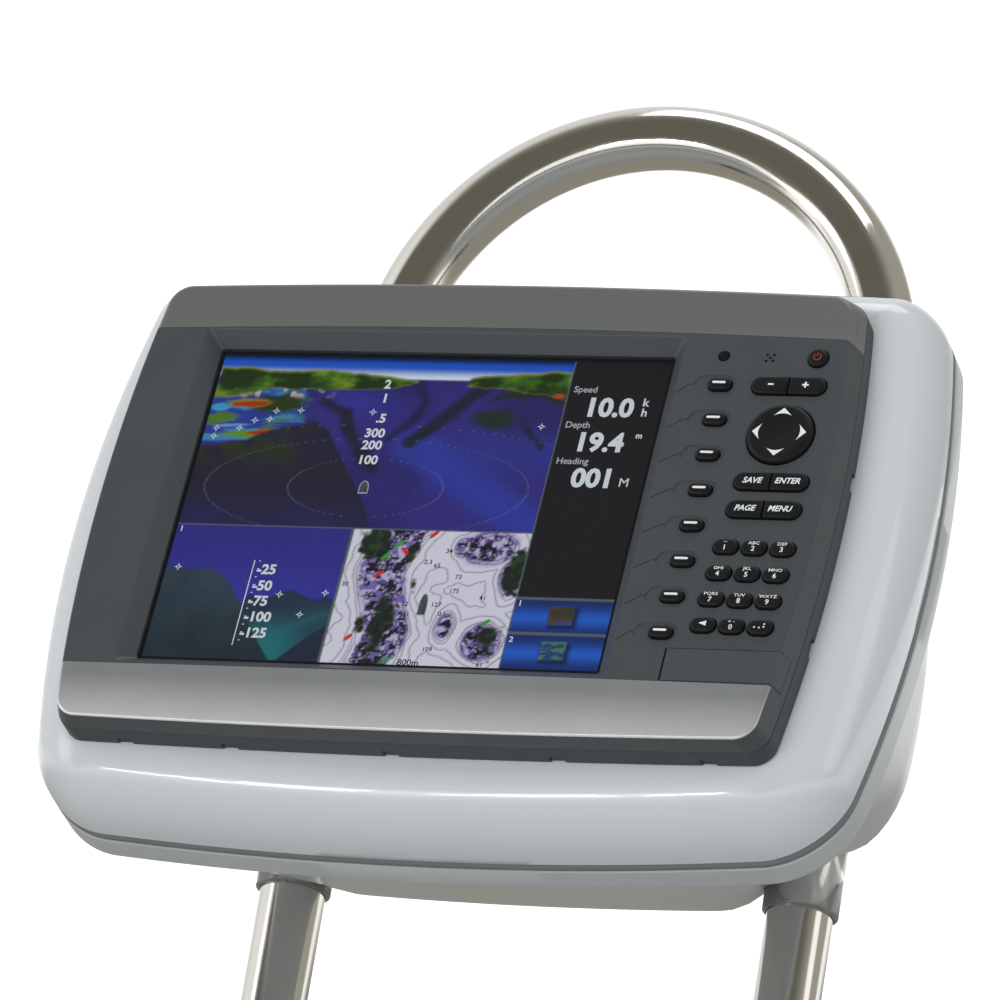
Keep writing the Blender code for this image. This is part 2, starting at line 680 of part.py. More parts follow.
def make_collars():
    mat = material("clear_collar", (0.85, 0.87, 0.88), 0.08, 0.0, 0.45)
    inner = 0.5 * TUBE_D + GAP
    for side, hand in ((-1, "left"), (1, "right")):
        for where, v0, v1 in (("lower", -250.5 * MM, -230.0 * MM), ("upper", -54.0 * MM, -29.0 * MM)):
            lip = 1.2 * MM
            rings = [guard_ring(side, v0, COLLAR_R - lip, 20), guard_ring(side, v0 + lip, COLLAR_R, 20),
                     guard_ring(side, v1, COLLAR_R, 20), guard_ring(side, v1, inner, 20),
                     guard_ring(side, v0, inner, 20)]
            body("%s_collar_%s" % (where, hand), rings, mat, loop=True)


def guard_path():
    """Middle line of the guard in the world: up one leg, over the arch, down the other."""
    half = 0.5 * LEG_SPAN
    lean = GUARD_LEAN
    base = FOOT_T + GAP
    leg = [(0.0, base, 0.0), (0.0, base + LEG_UPRIGHT, 0.0)]
    for i in range(1, 4):
        a = lean * i / 3
        leg.append((BEND_R * (1.0 - math.cos(a)), base + LEG_UPRIGHT + BEND_R * math.sin(a), a))
    top = leg[-1]
    leg.append((top[0] + LEG_STRAIGHT * math.sin(lean), top[1] + LEG_STRAIGHT * math.cos(lean), lean))
    path = []
    for y, z, a in leg:
        path.append((Vector((-half, y, z)), Vector((0.0, math.sin(a), math.cos(a)))))
    n = 18
    up = Vector((0.0, math.sin(lean), math.cos(lean)))
    for i in range(1, n):
        a = math.pi * i / n
        pos = ARCH_WORLD + Vector((-half * math.cos(a), 0.0, 0.0)) + up * (half * math.sin(a))
        path.append((pos, Vector((math.sin(a), 0.0, 0.0)) + up * math.cos(a)))
    for y, z, a in leg[::-1]:
        path.append((Vector((half, y, z)), Vector((0.0, -math.sin(a), -math.cos(a)))))
    return path


def make_guard():
    rings = []
    path = guard_path()
    normals = []
    for pos, tangent in path:
        lean = GUARD_LEAN
        flat = abs(tangent.x) < 1e-6
        if flat and abs(tangent.z) > 1e-9:
            side = Vector((0.0, -abs(tangent.z), abs(tangent.y)))
        else:
            side = Vector((0.0, -math.cos(lean), math.sin(lean)))
        normals.append(side.normalized())
    for radius, order in ((0.5 * TUBE_D, 1), (0.5 * TUBE_D - TUBE_WALL, -1)):
        part = []
        for (pos, tangent), side in zip(path, normals):
            across = tangent.normalized().cross(side)
            part.append([pos + side * (radius * math.cos(2 * math.pi * i / 16))
                         + across * (radius * math.sin(2 * math.pi * i / 16)) for i in range(16)])
        rings += part[::order]
    body("guard_hoop", rings, material("guard_steel", (0.62, 0.60, 0.56), 0.12, 1.0),
         matrix=Matrix.Identity(4), loop=True)


def make_clamps():
    """Blocks inside the pod that hold each leg to the rear wall, with their screws."""
    mat = material("clamp_grey", (0.25, 0.26, 0.27), 0.5)
    steel = material("screw_steel", (0.6, 0.6, 0.6), 0.25, 1.0)
    inner = 0.5 * TUBE_D + GAP
    for side, hand in ((-1, "left"), (1, "right")):
        rings = []
        for v in (-185.0 * MM, -135.0 * MM):
            y, z = guard_point(v)
            outer = []
            for i in range(20):
                a = 2.0 * math.pi * i / 20
                out = side * math.cos(a)
                up = math.sin(a)
                reach = [length / slope for length, slope in
                         ((17.5 * MM, out), (30.0 * MM, -out), (21.0 * MM, up),
                          (REAR_GAP - POD_WALL - GAP, -up), (19.5 * MM, (out - up) * 0.7071))
                         if slope > 1e-6]
                r = min(reach)
                u = r * up
                outer.append((side * 0.5 * LEG_SPAN + r * math.cos(a), y - u * math.sin(TILT),
                              z + u * math.cos(TILT)))
            rings.append((outer, guard_ring(side, v, inner, 20)))
        loop = [rings[0][0], rings[1][0], rings[1][1], rings[0][1]]
        body("saddle_clamp_" + hand, loop, mat, loop=True, smooth=False)
        y, z = guard_point(-160.0 * MM)
        screw = []
        for r, u in ((4.5, 21.3), (4.5, 24.3), (3.0, 25.3)):
            yy = y - u * MM * math.sin(TILT)
            zz = z + u * MM * math.cos(TILT)
            ring = []
            for i in range(12):
                a = 2.0 * math.pi * i / 12
                s = r * MM * math.sin(a)
                ring.append((side * 0.5 * LEG_SPAN - side * 22.0 * MM + r * MM * math.cos(a),
                             yy + s * math.cos(TILT), zz + s * math.sin(TILT)))
            screw.append(ring)
        body("clamp_screw_" + hand, screw, steel)


def make_feet():
    mat = material("foot_steel", (0.60, 0.60, 0.58), 0.18, 1.0)
    steel = material("set_screw_steel", (0.5, 0.5, 0.5), 0.3, 1.0)
    inner = 0.5 * TUBE_D + GAP
    for side, hand in ((-1, "left"), (1, "right")):
        x = side * 0.5 * LEG_SPAN
        prof = ((FOOT_R, 0.0), (FOOT_R, FOOT_T - 3.0 * MM), (FOOT_R - 2.5 * MM, FOOT_T - 1.0 * MM),
                (SOCKET_R + 3.0 * MM, FOOT_T + 2.0 * MM), (SOCKET_R, FOOT_T + 6.0 * MM),
                (SOCKET_R, SOCKET_H - 1.2 * MM), (SOCKET_R - 1.2 * MM, SOCKET_H), (inner, SOCKET_H),
                (inner, FOOT_T))
        foot = body("guard_foot_" + hand, [disc(x, 0.0, r, z, 28) for r, z in prof], mat,
                    matrix=Matrix.Identity(4))
        tools = []
        for i in range(3):
            a = math.radians(90.0 + 120.0 * i)
            hx = x + 28.5 * MM * math.cos(a)
            hy = 28.5 * MM * math.sin(a)
            tools.append(cutter("cut_hole_%d" % i, [disc(hx, hy, r * MM, z * MM, 12) for r, z in
                                                    ((2.8, -2.0), (2.8, 5.2), (5.0, 8.0), (5.0, 20.0))],
                                matrix=Matrix.Identity(4)))
        bore = []
        for y in (-SOCKET_R - 4.0 * MM, -0.5 * TUBE_D + 1.0 * MM):
            bore.append([(x + 3.3 * MM * math.cos(math.pi * i / 6), y,
                          28.0 * MM + 3.3 * MM * math.sin(math.pi * i / 6)) for i in range(12)])
        tools.append(cutter("cut_set_bore", bore, matrix=Matrix.Identity(4)))
        carve(foot, tools)
        tidy(foot)
        screw = []
        for r, y in ((2.0, -0.5 * TUBE_D - GAP), (3.0, -0.5 * TUBE_D - 1.0 * MM),
                     (3.0, -SOCKET_R - 0.5 * MM)):
            screw.append([(x + r * MM * math.cos(math.pi * i / 6), y,
                           28.0 * MM + r * MM * math.sin(math.pi * i / 6)) for i in range(12)])
        body("set_screw_" + hand, screw, steel, matrix=Matrix.Identity(4))


def main():
    clear_scene()
    make_strips()
    make_fascia()
    make_door()
    make_keys()
    make_rocker()
    make_head_inside()
    make_case()
    make_pod_front()
    make_gasket()
    make_pod_rear()
    make_collars()
    make_guard()
    make_clamps()
    make_feet()


main()
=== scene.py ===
"""Looks of a fish finder: a screen-and-keypad head in a white two-part pod on a polished guard.

Everything is in metres, +Z up, the screen looks toward -Y. Pieces of the head and the pod are
worked out in the face frame (x right, y up the leaning face, z out of it) and then turned into
the world by face(). Sizes below are in millimetres and pass through MM once, in face() or world().
"""

import json
import math

import bmesh
import bpy
import numpy as np
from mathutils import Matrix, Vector

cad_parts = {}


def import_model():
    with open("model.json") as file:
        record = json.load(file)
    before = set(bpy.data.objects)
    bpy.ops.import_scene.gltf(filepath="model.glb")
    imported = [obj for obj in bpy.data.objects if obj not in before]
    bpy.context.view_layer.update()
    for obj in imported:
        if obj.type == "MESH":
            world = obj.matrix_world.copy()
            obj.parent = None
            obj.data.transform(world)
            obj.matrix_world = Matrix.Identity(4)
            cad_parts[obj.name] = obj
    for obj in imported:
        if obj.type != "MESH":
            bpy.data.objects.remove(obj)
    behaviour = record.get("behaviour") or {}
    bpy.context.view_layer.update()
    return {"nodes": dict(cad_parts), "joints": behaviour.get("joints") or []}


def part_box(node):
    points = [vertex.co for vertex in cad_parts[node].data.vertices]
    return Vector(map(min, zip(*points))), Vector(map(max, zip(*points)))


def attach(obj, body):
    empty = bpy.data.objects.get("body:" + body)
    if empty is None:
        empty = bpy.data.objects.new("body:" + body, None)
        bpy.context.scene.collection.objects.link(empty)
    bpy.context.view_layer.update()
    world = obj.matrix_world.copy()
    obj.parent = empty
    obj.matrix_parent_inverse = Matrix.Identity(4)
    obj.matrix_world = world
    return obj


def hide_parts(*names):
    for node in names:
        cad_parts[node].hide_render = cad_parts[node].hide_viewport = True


bl_info = {
    "name": "Fish finder looks",
    "version": (1, 0, 0),
    "blender": (4, 5, 0),
    "location": "3D View > Sidebar > Fish finder",
    "description": "Builds the smooth surfaces and finishes of a fish finder in its pod",
    "category": "Object",
}

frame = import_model()
JOINTS = {joint["name"]: joint for joint in frame["joints"]}
MM = 0.001

# the face frame, from the way the keys travel and from where the window sits
FACE_OUT = -Vector(JOINTS["power_key_press"]["axis"]).normalized()
FACE_UP = FACE_OUT.cross(Vector((1.0, 0.0, 0.0))).normalized()
TURN = np.array([[1.0, 0.0, 0.0], list(FACE_UP), list(FACE_OUT)])
SCREEN_X = -25.0
LENS_Z = 0.5
LENS_T = 1.5
_low, _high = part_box("window_lens")
ORIGIN = (np.array((_low + _high) / 2.0)
          - np.array([SCREEN_X, 0.0, LENS_Z - LENS_T / 2.0]) * MM @ TURN)

# head
HEAD_HALF_W = 167.4
HEAD_TOP = 113.2
HEAD_BOTTOM = -117.2
HEAD_MID = 0.5 * (HEAD_TOP + HEAD_BOTTOM)
HEAD_CORNER = 9.0
FRONT_Z = 8.0
BACK_Z = -4.0
FLANGE_Z = -15.0
FLANGE_GROW = 3.6
STRIP_FLOOR = 3.0
THIN_FLOOR = 6.8
STRIP_DEPTH = 23.1         # how far the top strip reaches down the panel
LOW_STRIP_Y = -88.1
CASE = (149.0, 99.0)
WINDOW = (214.0, 162.0)
RECESS = (227.4, 175.2)
PICTURE = (211.2, 158.4)

# keys
KEY_FOOT_Z = 3.3
KEY_TOP_Z = 9.8
KEY_FIT = 0.35
ROCKER = (141.6, 37.2, 15.0)
PILL = (34.0, 8.8)
SOFT_SIZE = (11.0, 6.2)
PAD_SIZE = (11.6, 7.4)
POWER = (150.6, 77.0, 9.0)
SENSOR = (107.3, 77.6, 2.4)
SPEAKER = (128.6, 77.0)

# card door
DOOR_AXIS = (114.3, 6.5)
DOOR_TOP = -72.0
DOOR_BOTTOM = -87.8
DOOR_T = 3.0
DOOR_LIP_Z = 0.0

# pod
POD_HALF_W = 198.7
POD_TOP = 142.0
POD_BOTTOM = -146.5
POD_CORNER = (20.0, 32.0)
POD_WIDEST = 5.0
POD_WALL = 4.0
POD_FACE_Z = -15.3
SPLIT_Z = -53.5
GASKET_T = 5.0
LIP_DEPTH = 15.0
REAR_GAP = 28.0            # rear wall behind the tube's middle
SADDLE_RISE = 11.0         # how far the bottom wall lifts over a leg
SADDLE_HALF_W = 24.0
HOLLOW_DEPTH = 5.0         # scoop in each side wall

# guard
TUBE_R = 15.0
LEG_HALF = 121.3
GUARD_LEAN = math.radians(26.0)
BEND_R = 100.0
LEG_UPRIGHT = 70.0
LEG_STRAIGHT = 330.0
FOOT_BASE = 8.3
TUBE_WALL = 2.0
TUBE_SIDES = 56
TUBE_FIT = 0.3
ARCH = (0.0, BEND_R * (1.0 - math.cos(GUARD_LEAN)) + LEG_STRAIGHT * math.sin(GUARD_LEAN),
        FOOT_BASE + LEG_UPRIGHT + BEND_R * math.sin(GUARD_LEAN) + LEG_STRAIGHT * math.cos(GUARD_LEAN))
TILT = math.acos(FACE_UP.z) - GUARD_LEAN
COLLAR_R = 19.4
COLLAR_SLIM = 2.2          # the lower collars are this much smaller in radius
FOOT_HOLE_CIRCLE = 28.5
SET_SCREW_Z = 28.0
CAMERA_PLACE = (1.2549, -3.2918, 0.6134)   # metres
CAMERA_TURN = (86.095, 0.0, 20.935)        # degrees
FOOT = {"r": 36.0, "t": 8.0, "socket_r": 20.0, "socket_h": 42.0}


# ---------------------------------------------------------------- geometry

def face(points):
    """Face-frame millimetres to world metres: turn by the face's lean, then shift to its origin."""
    return np.asarray(points, float) * MM @ TURN + ORIGIN


def world(points):
    """World millimetres to world metres."""
    return np.asarray(points, float) * MM


def skin(grid, along=False, around=True, start=True, end=True):
    """Four-sided faces over a grid of points (rows of rings); caps are single flat faces."""
    grid = np.asarray(grid, float)
    rows, cols = grid.shape[:2]
    r = np.arange(rows if along else rows - 1)[:, None]
    c = np.arange(cols if around else cols - 1)[None, :]
    r2 = (r + 1) % rows
    c2 = (c + 1) % cols
    quads = np.stack([r * cols + c, r * cols + c2, r2 * cols + c2, r2 * cols + c], -1)
    faces = quads.reshape(-1, 4).tolist()
    if not along and around:
        if start:
            faces.append(list(range(cols))[::-1])
        if end:
            faces.append(list(range((rows - 1) * cols, rows * cols)))
    return grid.reshape(-1, 3), faces


def mesh_object(name, shapes, materials=(), slots=None, closed=True, angle=32.0):
    """One mesh from several (points, faces) shapes; slots gives each shape's material number."""
    points = np.concatenate([s[0] for s in shapes])
    faces = []
    index = []
    start = 0
    for k, (verts, polys) in enumerate(shapes):
        faces += [[i + start for i in poly] for poly in polys]
        index += [0 if slots is None else slots[k]] * len(polys)
        start += len(verts)
    mesh = bpy.data.meshes.new(name)
    mesh.from_pydata(points.tolist(), [], faces)
    for mat in materials:
        mesh.materials.append(mat)
    mesh.polygons.foreach_set("material_index", index)
    bm = bmesh.new()
    bm.from_mesh(mesh)
    bmesh.ops.remove_doubles(bm, verts=bm.verts, dist=1e-6)
    bmesh.ops.dissolve_degenerate(bm, edges=bm.edges, dist=1e-7)
    if closed:
        bmesh.ops.recalc_face_normals(bm, faces=bm.faces)
    bm.to_mesh(mesh)
    bm.free()
    obj = bpy.data.objects.new(name, mesh)
    bpy.context.scene.collection.objects.link(obj)
    mesh.shade_smooth()
    if angle is not None:
        mesh.set_sharp_from_angle(angle=math.radians(angle))
    return obj


def settle(obj):
    """Swap the object's mesh for the one its modifiers give, and drop the modifiers."""
    bpy.context.view_layer.update()
    graph = bpy.context.evaluated_depsgraph_get()
    mesh = bpy.data.meshes.new_from_object(obj.evaluated_get(graph))
    old = obj.data
    obj.modifiers.clear()
    obj.data = mesh
    bpy.data.meshes.remove(old)
    mesh.name = obj.name


def cut(obj, shapes, operation="DIFFERENCE", angle=32.0):
    """Take closed shapes, which do not touch each other, out of a piece in one exact cut."""
    tool = mesh_object("tool", shapes, angle=None)
    mod = obj.modifiers.new("cut", "BOOLEAN")
    mod.operation = operation
    mod.solver = "EXACT"
    mod.object = tool
    settle(obj)
    obj.data.shade_smooth()
    obj.data.set_sharp_from_angle(angle=math.radians(angle))
    bpy.data.objects.remove(tool, do_unlink=True)


def flatten_shading(obj):
    """Let big flat faces keep their own normal where they meet narrow rounded ones."""
    mod = obj.modifiers.new("weighted", "WEIGHTED_NORMAL")
    mod.keep_sharp = True
    mod.weight = 90
    settle(obj)


def place(obj, body="stand", stands_for=()):
    """Say what the piece moves with, which nodes it stands for and whose finish it takes."""
    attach(obj, body)
    if stands_for:
        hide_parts(*stands_for)
    return obj


def barrel(half_w, top, bottom, corner, sag_x, sag_top, sag_bottom, z, inset=0.0, widest=None,
           arc=10, side=36):
    """Rounded rectangle whose sides bulge: a point's x shrinks with the square of its height,
    its y with the square of its x. corner is one radius or (upper, lower); z a number or f(y)."""
    half_w -= inset
    top -= inset
    bottom += inset
    if not isinstance(corner, tuple):
        corner = (corner, corner)
    upper = max(corner[0] - inset, 0.8)
    lower = max(corner[1] - inset, 0.8)
    mid = 0.5 * (top + bottom)
    half_h = 0.5 * (top - bottom)
    belly = mid if widest is None else widest
    runs = []
    corners = ((1, 1, upper, 0.0), (-1, 1, upper, 90.0), (-1, -1, lower, 180.0), (1, -1, lower, 270.0))
    for k, (sx, sy, r, begin) in enumerate(corners):
        a = np.radians(begin + np.linspace(0.0, 90.0, arc + 1))
        runs.append(np.stack([sx * (half_w - r) + r * np.cos(a), mid + sy * (half_h - r) + r * np.sin(a)],
                             -1))
        nx, ny, nr, nb = corners[(k + 1) % 4]
        end = np.array([nx * (half_w - nr) + nr * math.cos(math.radians(nb)),
                        mid + ny * (half_h - nr) + nr * math.sin(math.radians(nb))])
        t = (np.arange(1, side) / side)[:, None]
        runs.append(runs[-1][-1] * (1.0 - t) + end * t)
    p = np.concatenate(runs)
    u = p[:, 0] / half_w
    v = (p[:, 1] - mid) / half_h
    w = (p[:, 1] - belly) / half_h
    bulge = np.where(v > 0.0, sag_top, sag_bottom)
    x = p[:, 0] * (1.0 - (sag_x / half_w) * w * w)
    y = mid + (p[:, 1] - mid) * (1.0 - (bulge / half_h) * u * u)
    depth = z(y) if callable(z) else np.full_like(x, z)
    return np.stack([x, y, depth], -1)


def head_ring(z, inset=0.0):
    """Outline of the head, growing a little from the front face back to the flange."""
    t = min(max((FRONT_Z - z) / (FRONT_Z - BACK_Z), 0.0), 1.0)
    return barrel(HEAD_HALF_W + FLANGE_GROW * t, HEAD_TOP + FLANGE_GROW * t, HEAD_BOTTOM,
                  HEAD_CORNER, 8.0, 3.2, 2.2, z, inset)


def pod_ring(z, inset=0.0, half_w=POD_HALF_W, top=POD_TOP, bottom=POD_BOTTOM, corner=POD_CORNER,
             sag=10.0):
    return barrel(half_w, top, bottom, corner, 16.0, 4.0, sag, z, inset, POD_WIDEST, 14, 40)


def edge_x(y):
    """Right edge of the head's front at a height."""
    v = (y - HEAD_MID) / (0.5 * (HEAD_TOP - HEAD_BOTTOM))
    return HEAD_HALF_W - 8.0 * v * v


def rounding(radius, steps):
    """(inset, rise) pairs of a quarter circle from the side wall up to the flat top."""
    a = np.radians(np.linspace(0.0, 90.0, steps + 1))
    return np.stack([radius * (1.0 - np.cos(a)), radius * (np.sin(a) - 1.0)], -1)


def stadium(cx, cy, w, h, z, inset=0.0, n=32):
    """Outline with straight sides and half-round ends."""
    r = 0.5 * h
    reach = 0.5 * w - r
    r -= inset
    a = np.radians(np.concatenate([np.linspace(-90.0, 90.0, n // 2), np.linspace(90.0, 270.0, n // 2)]))
    shift = np.where(np.arange(n) < n // 2, reach, -reach)
    return np.stack([cx + shift + r * np.cos(a), cy + r * np.sin(a), np.full(n, float(z))], -1)


def circle(cx, cy, r, z, n=48):
    a = 2.0 * np.pi * np.arange(n) / n
    return np.stack([cx + r * np.cos(a), cy + r * np.sin(a), np.full(n, float(z))], -1)


def half_pill(cx, cy, w, h, side, z, inset=0.0, n=20):
    """One half of a stadium split down the middle: round outside, straight inside."""
    r = 0.5 * h - inset
    reach = 0.5 * w - 0.5 * h
    a = np.radians(np.linspace(-90.0, 90.0, n))
    x = np.concatenate([reach + r * np.cos(a), [0.15 + inset, 0.15 + inset]])
    y = np.concatenate([r * np.sin(a), [r, -r]])
    return np.stack([cx + side * x, cy + y, np.full(n + 2, float(z))], -1)


def rect(x0, x1, y0, y1, z, corner=1.0, arc=6):
    """Rectangle with round corners."""
    runs = []
    for cx, cy, begin in ((x1 - corner, y1 - corner, 0.0), (x0 + corner, y1 - corner, 90.0),
                          (x0 + corner, y0 + corner, 180.0), (x1 - corner, y0 + corner, 270.0)):
        a = np.radians(begin + np.linspace(0.0, 90.0, arc + 1))
        runs.append(np.stack([cx + corner * np.cos(a), cy + corner * np.sin(a)], -1))
    p = np.concatenate(runs)
    return np.column_stack([p, np.full(len(p), float(z))])


def window_box(w, h, z, corner=2.5):
    return rect(SCREEN_X - 0.5 * w, SCREEN_X + 0.5 * w, -0.5 * h, 0.5 * h, z, corner)


def prism(outline, z0, z1):
    """Closed straight block between two heights over an (x, y) outline."""
    p = np.asarray(outline, float)[:, :2]
    low = np.column_stack([p, np.full(len(p), float(z0))])
    high = np.column_stack([p, np.full(len(p), float(z1))])
    return skin(face([low, high]))


# ---------------------------------------------------------------- shader helpers

class Value:
    """A socket that can be added, multiplied and so on; each operation adds one Math node."""

    def __init__(self, nodes, socket):
        self.nodes = nodes
        self.socket = socket

    def _math(self, operation, other, swap=False, clamp=False):
        pair = [self, other]
        if swap:
            pair.reverse()
        return self.nodes.add("ShaderNodeMath", {"operation": operation, "use_clamp": clamp},
                              {0: pair[0], 1: pair[1]})

    def __add__(self, other):
        return self._math("ADD", other)

    __radd__ = __add__

    def __sub__(self, other):
        return self._math("SUBTRACT", other)

    def __rsub__(self, other):
        return self._math("SUBTRACT", other, swap=True)

    def __mul__(self, other):
        return self._math("MULTIPLY", other)

    __rmul__ = __mul__

    def clamp(self):
        return self._math("ADD", 0.0, clamp=True)


class Finish:
    """One material: its nodes, its shader and the patterns read from the piece's own place."""

    def __init__(self, name):
        self.mat = bpy.data.materials.new(name)
        self.mat.use_nodes = True
        self.tree = self.mat.node_tree
        self.shader = self.tree.nodes["Principled BSDF"]
        self._place = None

    def add(self, kind, settings=None, inputs=None, output=0):
        """Add any node: first its settings, then the values or links of its sockets."""
        node = self.tree.nodes.new(kind)
        for key, value in (settings or {}).items():
            if key == "stops":
                ramp = node.color_ramp
                while len(ramp.elements) < len(value):
                    ramp.elements.new(0.5)
                for element, (at, colour) in zip(ramp.elements, value):
                    element.position = at
                    element.color = (*colour, 1.0)
            else:
                setattr(node, key, value)
        for key, value in (inputs or {}).items():
            self.link(value, node.inputs[key])
        return Value(self, node.outputs[output])

    def link(self, value, socket):
        if isinstance(value, Value):
            self.tree.links.new(value.socket, socket)
        elif isinstance(value, (tuple, list)) and len(value) == 3 and socket.type == "RGBA":
            socket.default_value = (*value, 1.0)
        else:
            socket.default_value = value

    def place(self):
        if self._place is None:
            self._place = self.add("ShaderNodeTexCoord", output="Object")
        return self._place

    def noise(self, scale, detail=2.0, rough=0.5, stretch=None):
        where = self.place()
        if stretch:
            where = self.add("ShaderNodeMapping", None, {"Vector": where, "Scale": stretch})
        return self.add("ShaderNodeTexNoise", None, {"Vector": where, "Scale": scale, "Detail": detail,
                                                      "Roughness": rough}, "Fac")

    def ramp(self, value, stops):
        return self.add("ShaderNodeValToRGB", {"stops": stops}, {"Fac": value}, "Color")

    def blend(self, mask, first, second):
        return self.add("ShaderNodeMix", {"data_type": "RGBA"},
                        {"Factor": mask, 6: first, 7: second}, 2)

    def bump(self, height, distance, strength=1.0):
        normal = self.add("ShaderNodeBump", None, {"Height": height, "Distance": distance,
                                                    "Strength": strength}, "Normal")
        self.set("Normal", normal)

    def set(self, socket, value):
        self.link(value, self.shader.inputs[socket])
        return self


def shade(colour, factor):
    return tuple(min(1.0, c * factor) for c in colour)


_finishes = {}


def finish(name, maker):
    """Each finish is made once and shared."""
    if name not in _finishes:
        _finishes[name] = maker(Finish(name)).mat
    return _finishes[name]


def moulded(colour, rough, grain_scale, grain_depth, spread=0.1, coat=0.0, metal=0.0):
    """Moulded plastic: fine grain in the surface, slow colour drift, a little uneven gloss."""
    def make(f):
        drift = f.noise(26.0, 3.0)
        speck = f.noise(grain_scale, 2.0)
        tone = (drift * 0.6 + speck * 0.4).clamp()
        f.set("Base Color", f.blend(tone, shade(colour, 1.0 - spread), shade(colour, 1.0 + spread)))
        f.set("Roughness", (speck * 0.12 + (rough - 0.06)).clamp())
        f.set("Metallic", metal)
        f.bump(speck, grain_depth)
        if coat:
            f.set("Coat Weight", coat)
            f.set("Coat Roughness", 0.05)
        return f
    return make


def pod_plastic(colour, rough, coat):
    """Glossy acrylic-capped shell: slight orange peel, faint cloudiness, thin dust in the gloss."""
    def make(f):
        cloud = f.noise(9.0, 3.0)
        peel = f.noise(190.0, 2.0)
        dust = f.noise(1400.0, 1.0)
        f.set("Base Color", f.blend(cloud, shade(colour, 0.97), shade(colour, 1.02)))
        f.set("Roughness", (dust * 0.08 + cloud * 0.06 + (rough - 0.07)).clamp())
        f.bump(peel, 0.00003)
        f.set("Coat Weight", coat)
        f.set("Coat Roughness", 0.02)
        return f
    return make


def polished_steel(colour, rough, along):
    """Mirror-polished tube: metal with faint polishing streaks that run along it."""
    def make(f):
        streak = f.noise(320.0, 3.0, 0.6, along)
        cloud = f.noise(22.0, 3.0)
        f.set("Metallic", 1.0)
        f.set("Base Color", f.blend(cloud, shade(colour, 0.94), shade(colour, 1.03)))
        f.set("Roughness", (streak * 0.09 + cloud * 0.05 + (rough - 0.06)).clamp())
        f.bump(streak, 0.000012)
        return f
    return make


def rubber(colour, rough):
    """Silicone key rubber: dull, very fine grain, lighter where fingers polish it."""
    def make(f):
        grain = f.noise(2600.0, 2.0)
        wear = f.noise(160.0, 3.0)
        f.set("Base Color", f.blend(wear, shade(colour, 0.85), shade(colour, 1.25)))
        f.set("Roughness", (wear * 0.16 + grain * 0.08 + (rough - 0.12)).clamp())
        f.bump(grain, 0.00002)
        f.set("Specular IOR Level", 0.28)
        return f
    return make


def printed(colour, rough=0.5, glow=0.0):
    """Ink or lit legend on a cap: thin print with a little unevenness."""
    def make(f):
        blot = f.noise(900.0, 2.0)
        f.set("Base Color", f.blend(blot, shade(colour, 0.88), shade(colour, 1.05)))
        f.set("Roughness", (blot * 0.1 + (rough - 0.05)).clamp())
        if glow:
            f.set("Emission Color", f.blend(blot, shade(colour, 0.88), shade(colour, 1.05)))
            f.set("Emission Strength", glow)
        return f
    return make


def metallic_with_painted_reflection(dark, light, low, high, rough, metal):
    """Sprayed metallic strip: flakes, and a soft drift from its dark edge to its light one."""
    def make(f):
        # painted reflection: the height on the strip picks between the dark and the lit copy
        where = f.add("ShaderNodeSeparateXYZ", None, {"Vector": f.place()}, "Z")
        reach = f.add("ShaderNodeMapRange", None, {"Value": where, "From Min": low, "From Max": high})
        flake = f.noise(3000.0, 1.0)
        drift = f.noise(14.0, 2.0)
        tone = (reach * 0.75 + drift * 0.2 + flake * 0.12 - 0.03).clamp()
        f.set("Base Color", f.blend(tone, dark, light))
        f.set("Metallic", metal)
        f.set("Roughness", (flake * 0.14 + (rough - 0.07)).clamp())
        f.bump(flake, 0.000015)
        return f
    return make


def clear_plastic():
    """Clear polycarbonate collar: see-through, with the faint haze of a moulded part."""
    def make(f):
        haze = f.noise(60.0, 3.0)
        f.set("Base Color", f.blend(haze, (0.93, 0.95, 0.96), (0.99, 0.99, 1.0)))
        f.set("Roughness", (haze * 0.06).clamp())
        f.set("Transmission Weight", 0.9)
        f.set("IOR", 1.49)
        f.bump(haze, 0.00004)
        return f
    return make


def window_glass():
    """Anti-reflection window: nearly clear, with a trace of smear."""
    def make(f):
        smear = f.noise(35.0, 3.0)
        f.set("Base Color", f.blend(smear, (0.01, 0.01, 0.012), (0.02, 0.02, 0.022)))
        f.set("Roughness", (smear * 0.05 + 0.03).clamp())
        f.set("Alpha", 0.06)
        f.set("Specular IOR Level", 0.25)
        return f
    return make


def lit_screen():
    """The display's picture: colours from the piece's own colour attribute, lit from behind."""
    def make(f):
        picture = f.add("ShaderNodeVertexColor", {"layer_name": "picture"}, None, "Color")
        weave = f.noise(4200.0, 0.0)
        dim = f.blend((weave * 0.5).clamp(), picture, (0.0, 0.0, 0.0))
        f.set("Base Color", (0.004, 0.004, 0.005))
        f.set("Roughness", 0.35)
        f.set("Specular IOR Level", 0.2)
        f.set("Emission Color", f.blend(0.18, picture, dim))
        f.set("Emission Strength", 1.0)
        return f
    return make


# ---------------------------------------------------------------- settings

class FishFinderSizes(bpy.types.PropertyGroup):
    """Sizes that change the look without changing what fits."""
    pod_roll: bpy.props.FloatProperty(name="Pod roll", description="How far the pod's front edge rolls in",
                                      default=24.0 * MM, min=0.010, max=0.030, unit="LENGTH")
    key_round: bpy.props.FloatProperty(name="Key rounding", description="Radius round the top of every key",
                                       default=1.5 * MM, min=0.0005, max=0.0025, unit="LENGTH")
    strip_edge: bpy.props.FloatProperty(name="Strip edge", description="Bright chamfer of the lower strip",
                                        default=0.6 * MM, min=0.0003, max=0.0015, unit="LENGTH")
    groove: bpy.props.FloatProperty(name="Leader groove",
                                    description="Width of the grooves beside the soft keys",
                                    default=0.45 * MM, min=0.0002, max=0.0010, unit="LENGTH")


def colour_property(name, description, default):
    return bpy.props.FloatVectorProperty(name=name, description=description, subtype="COLOR", size=3,
                                         min=0.0, max=1.0, default=default)


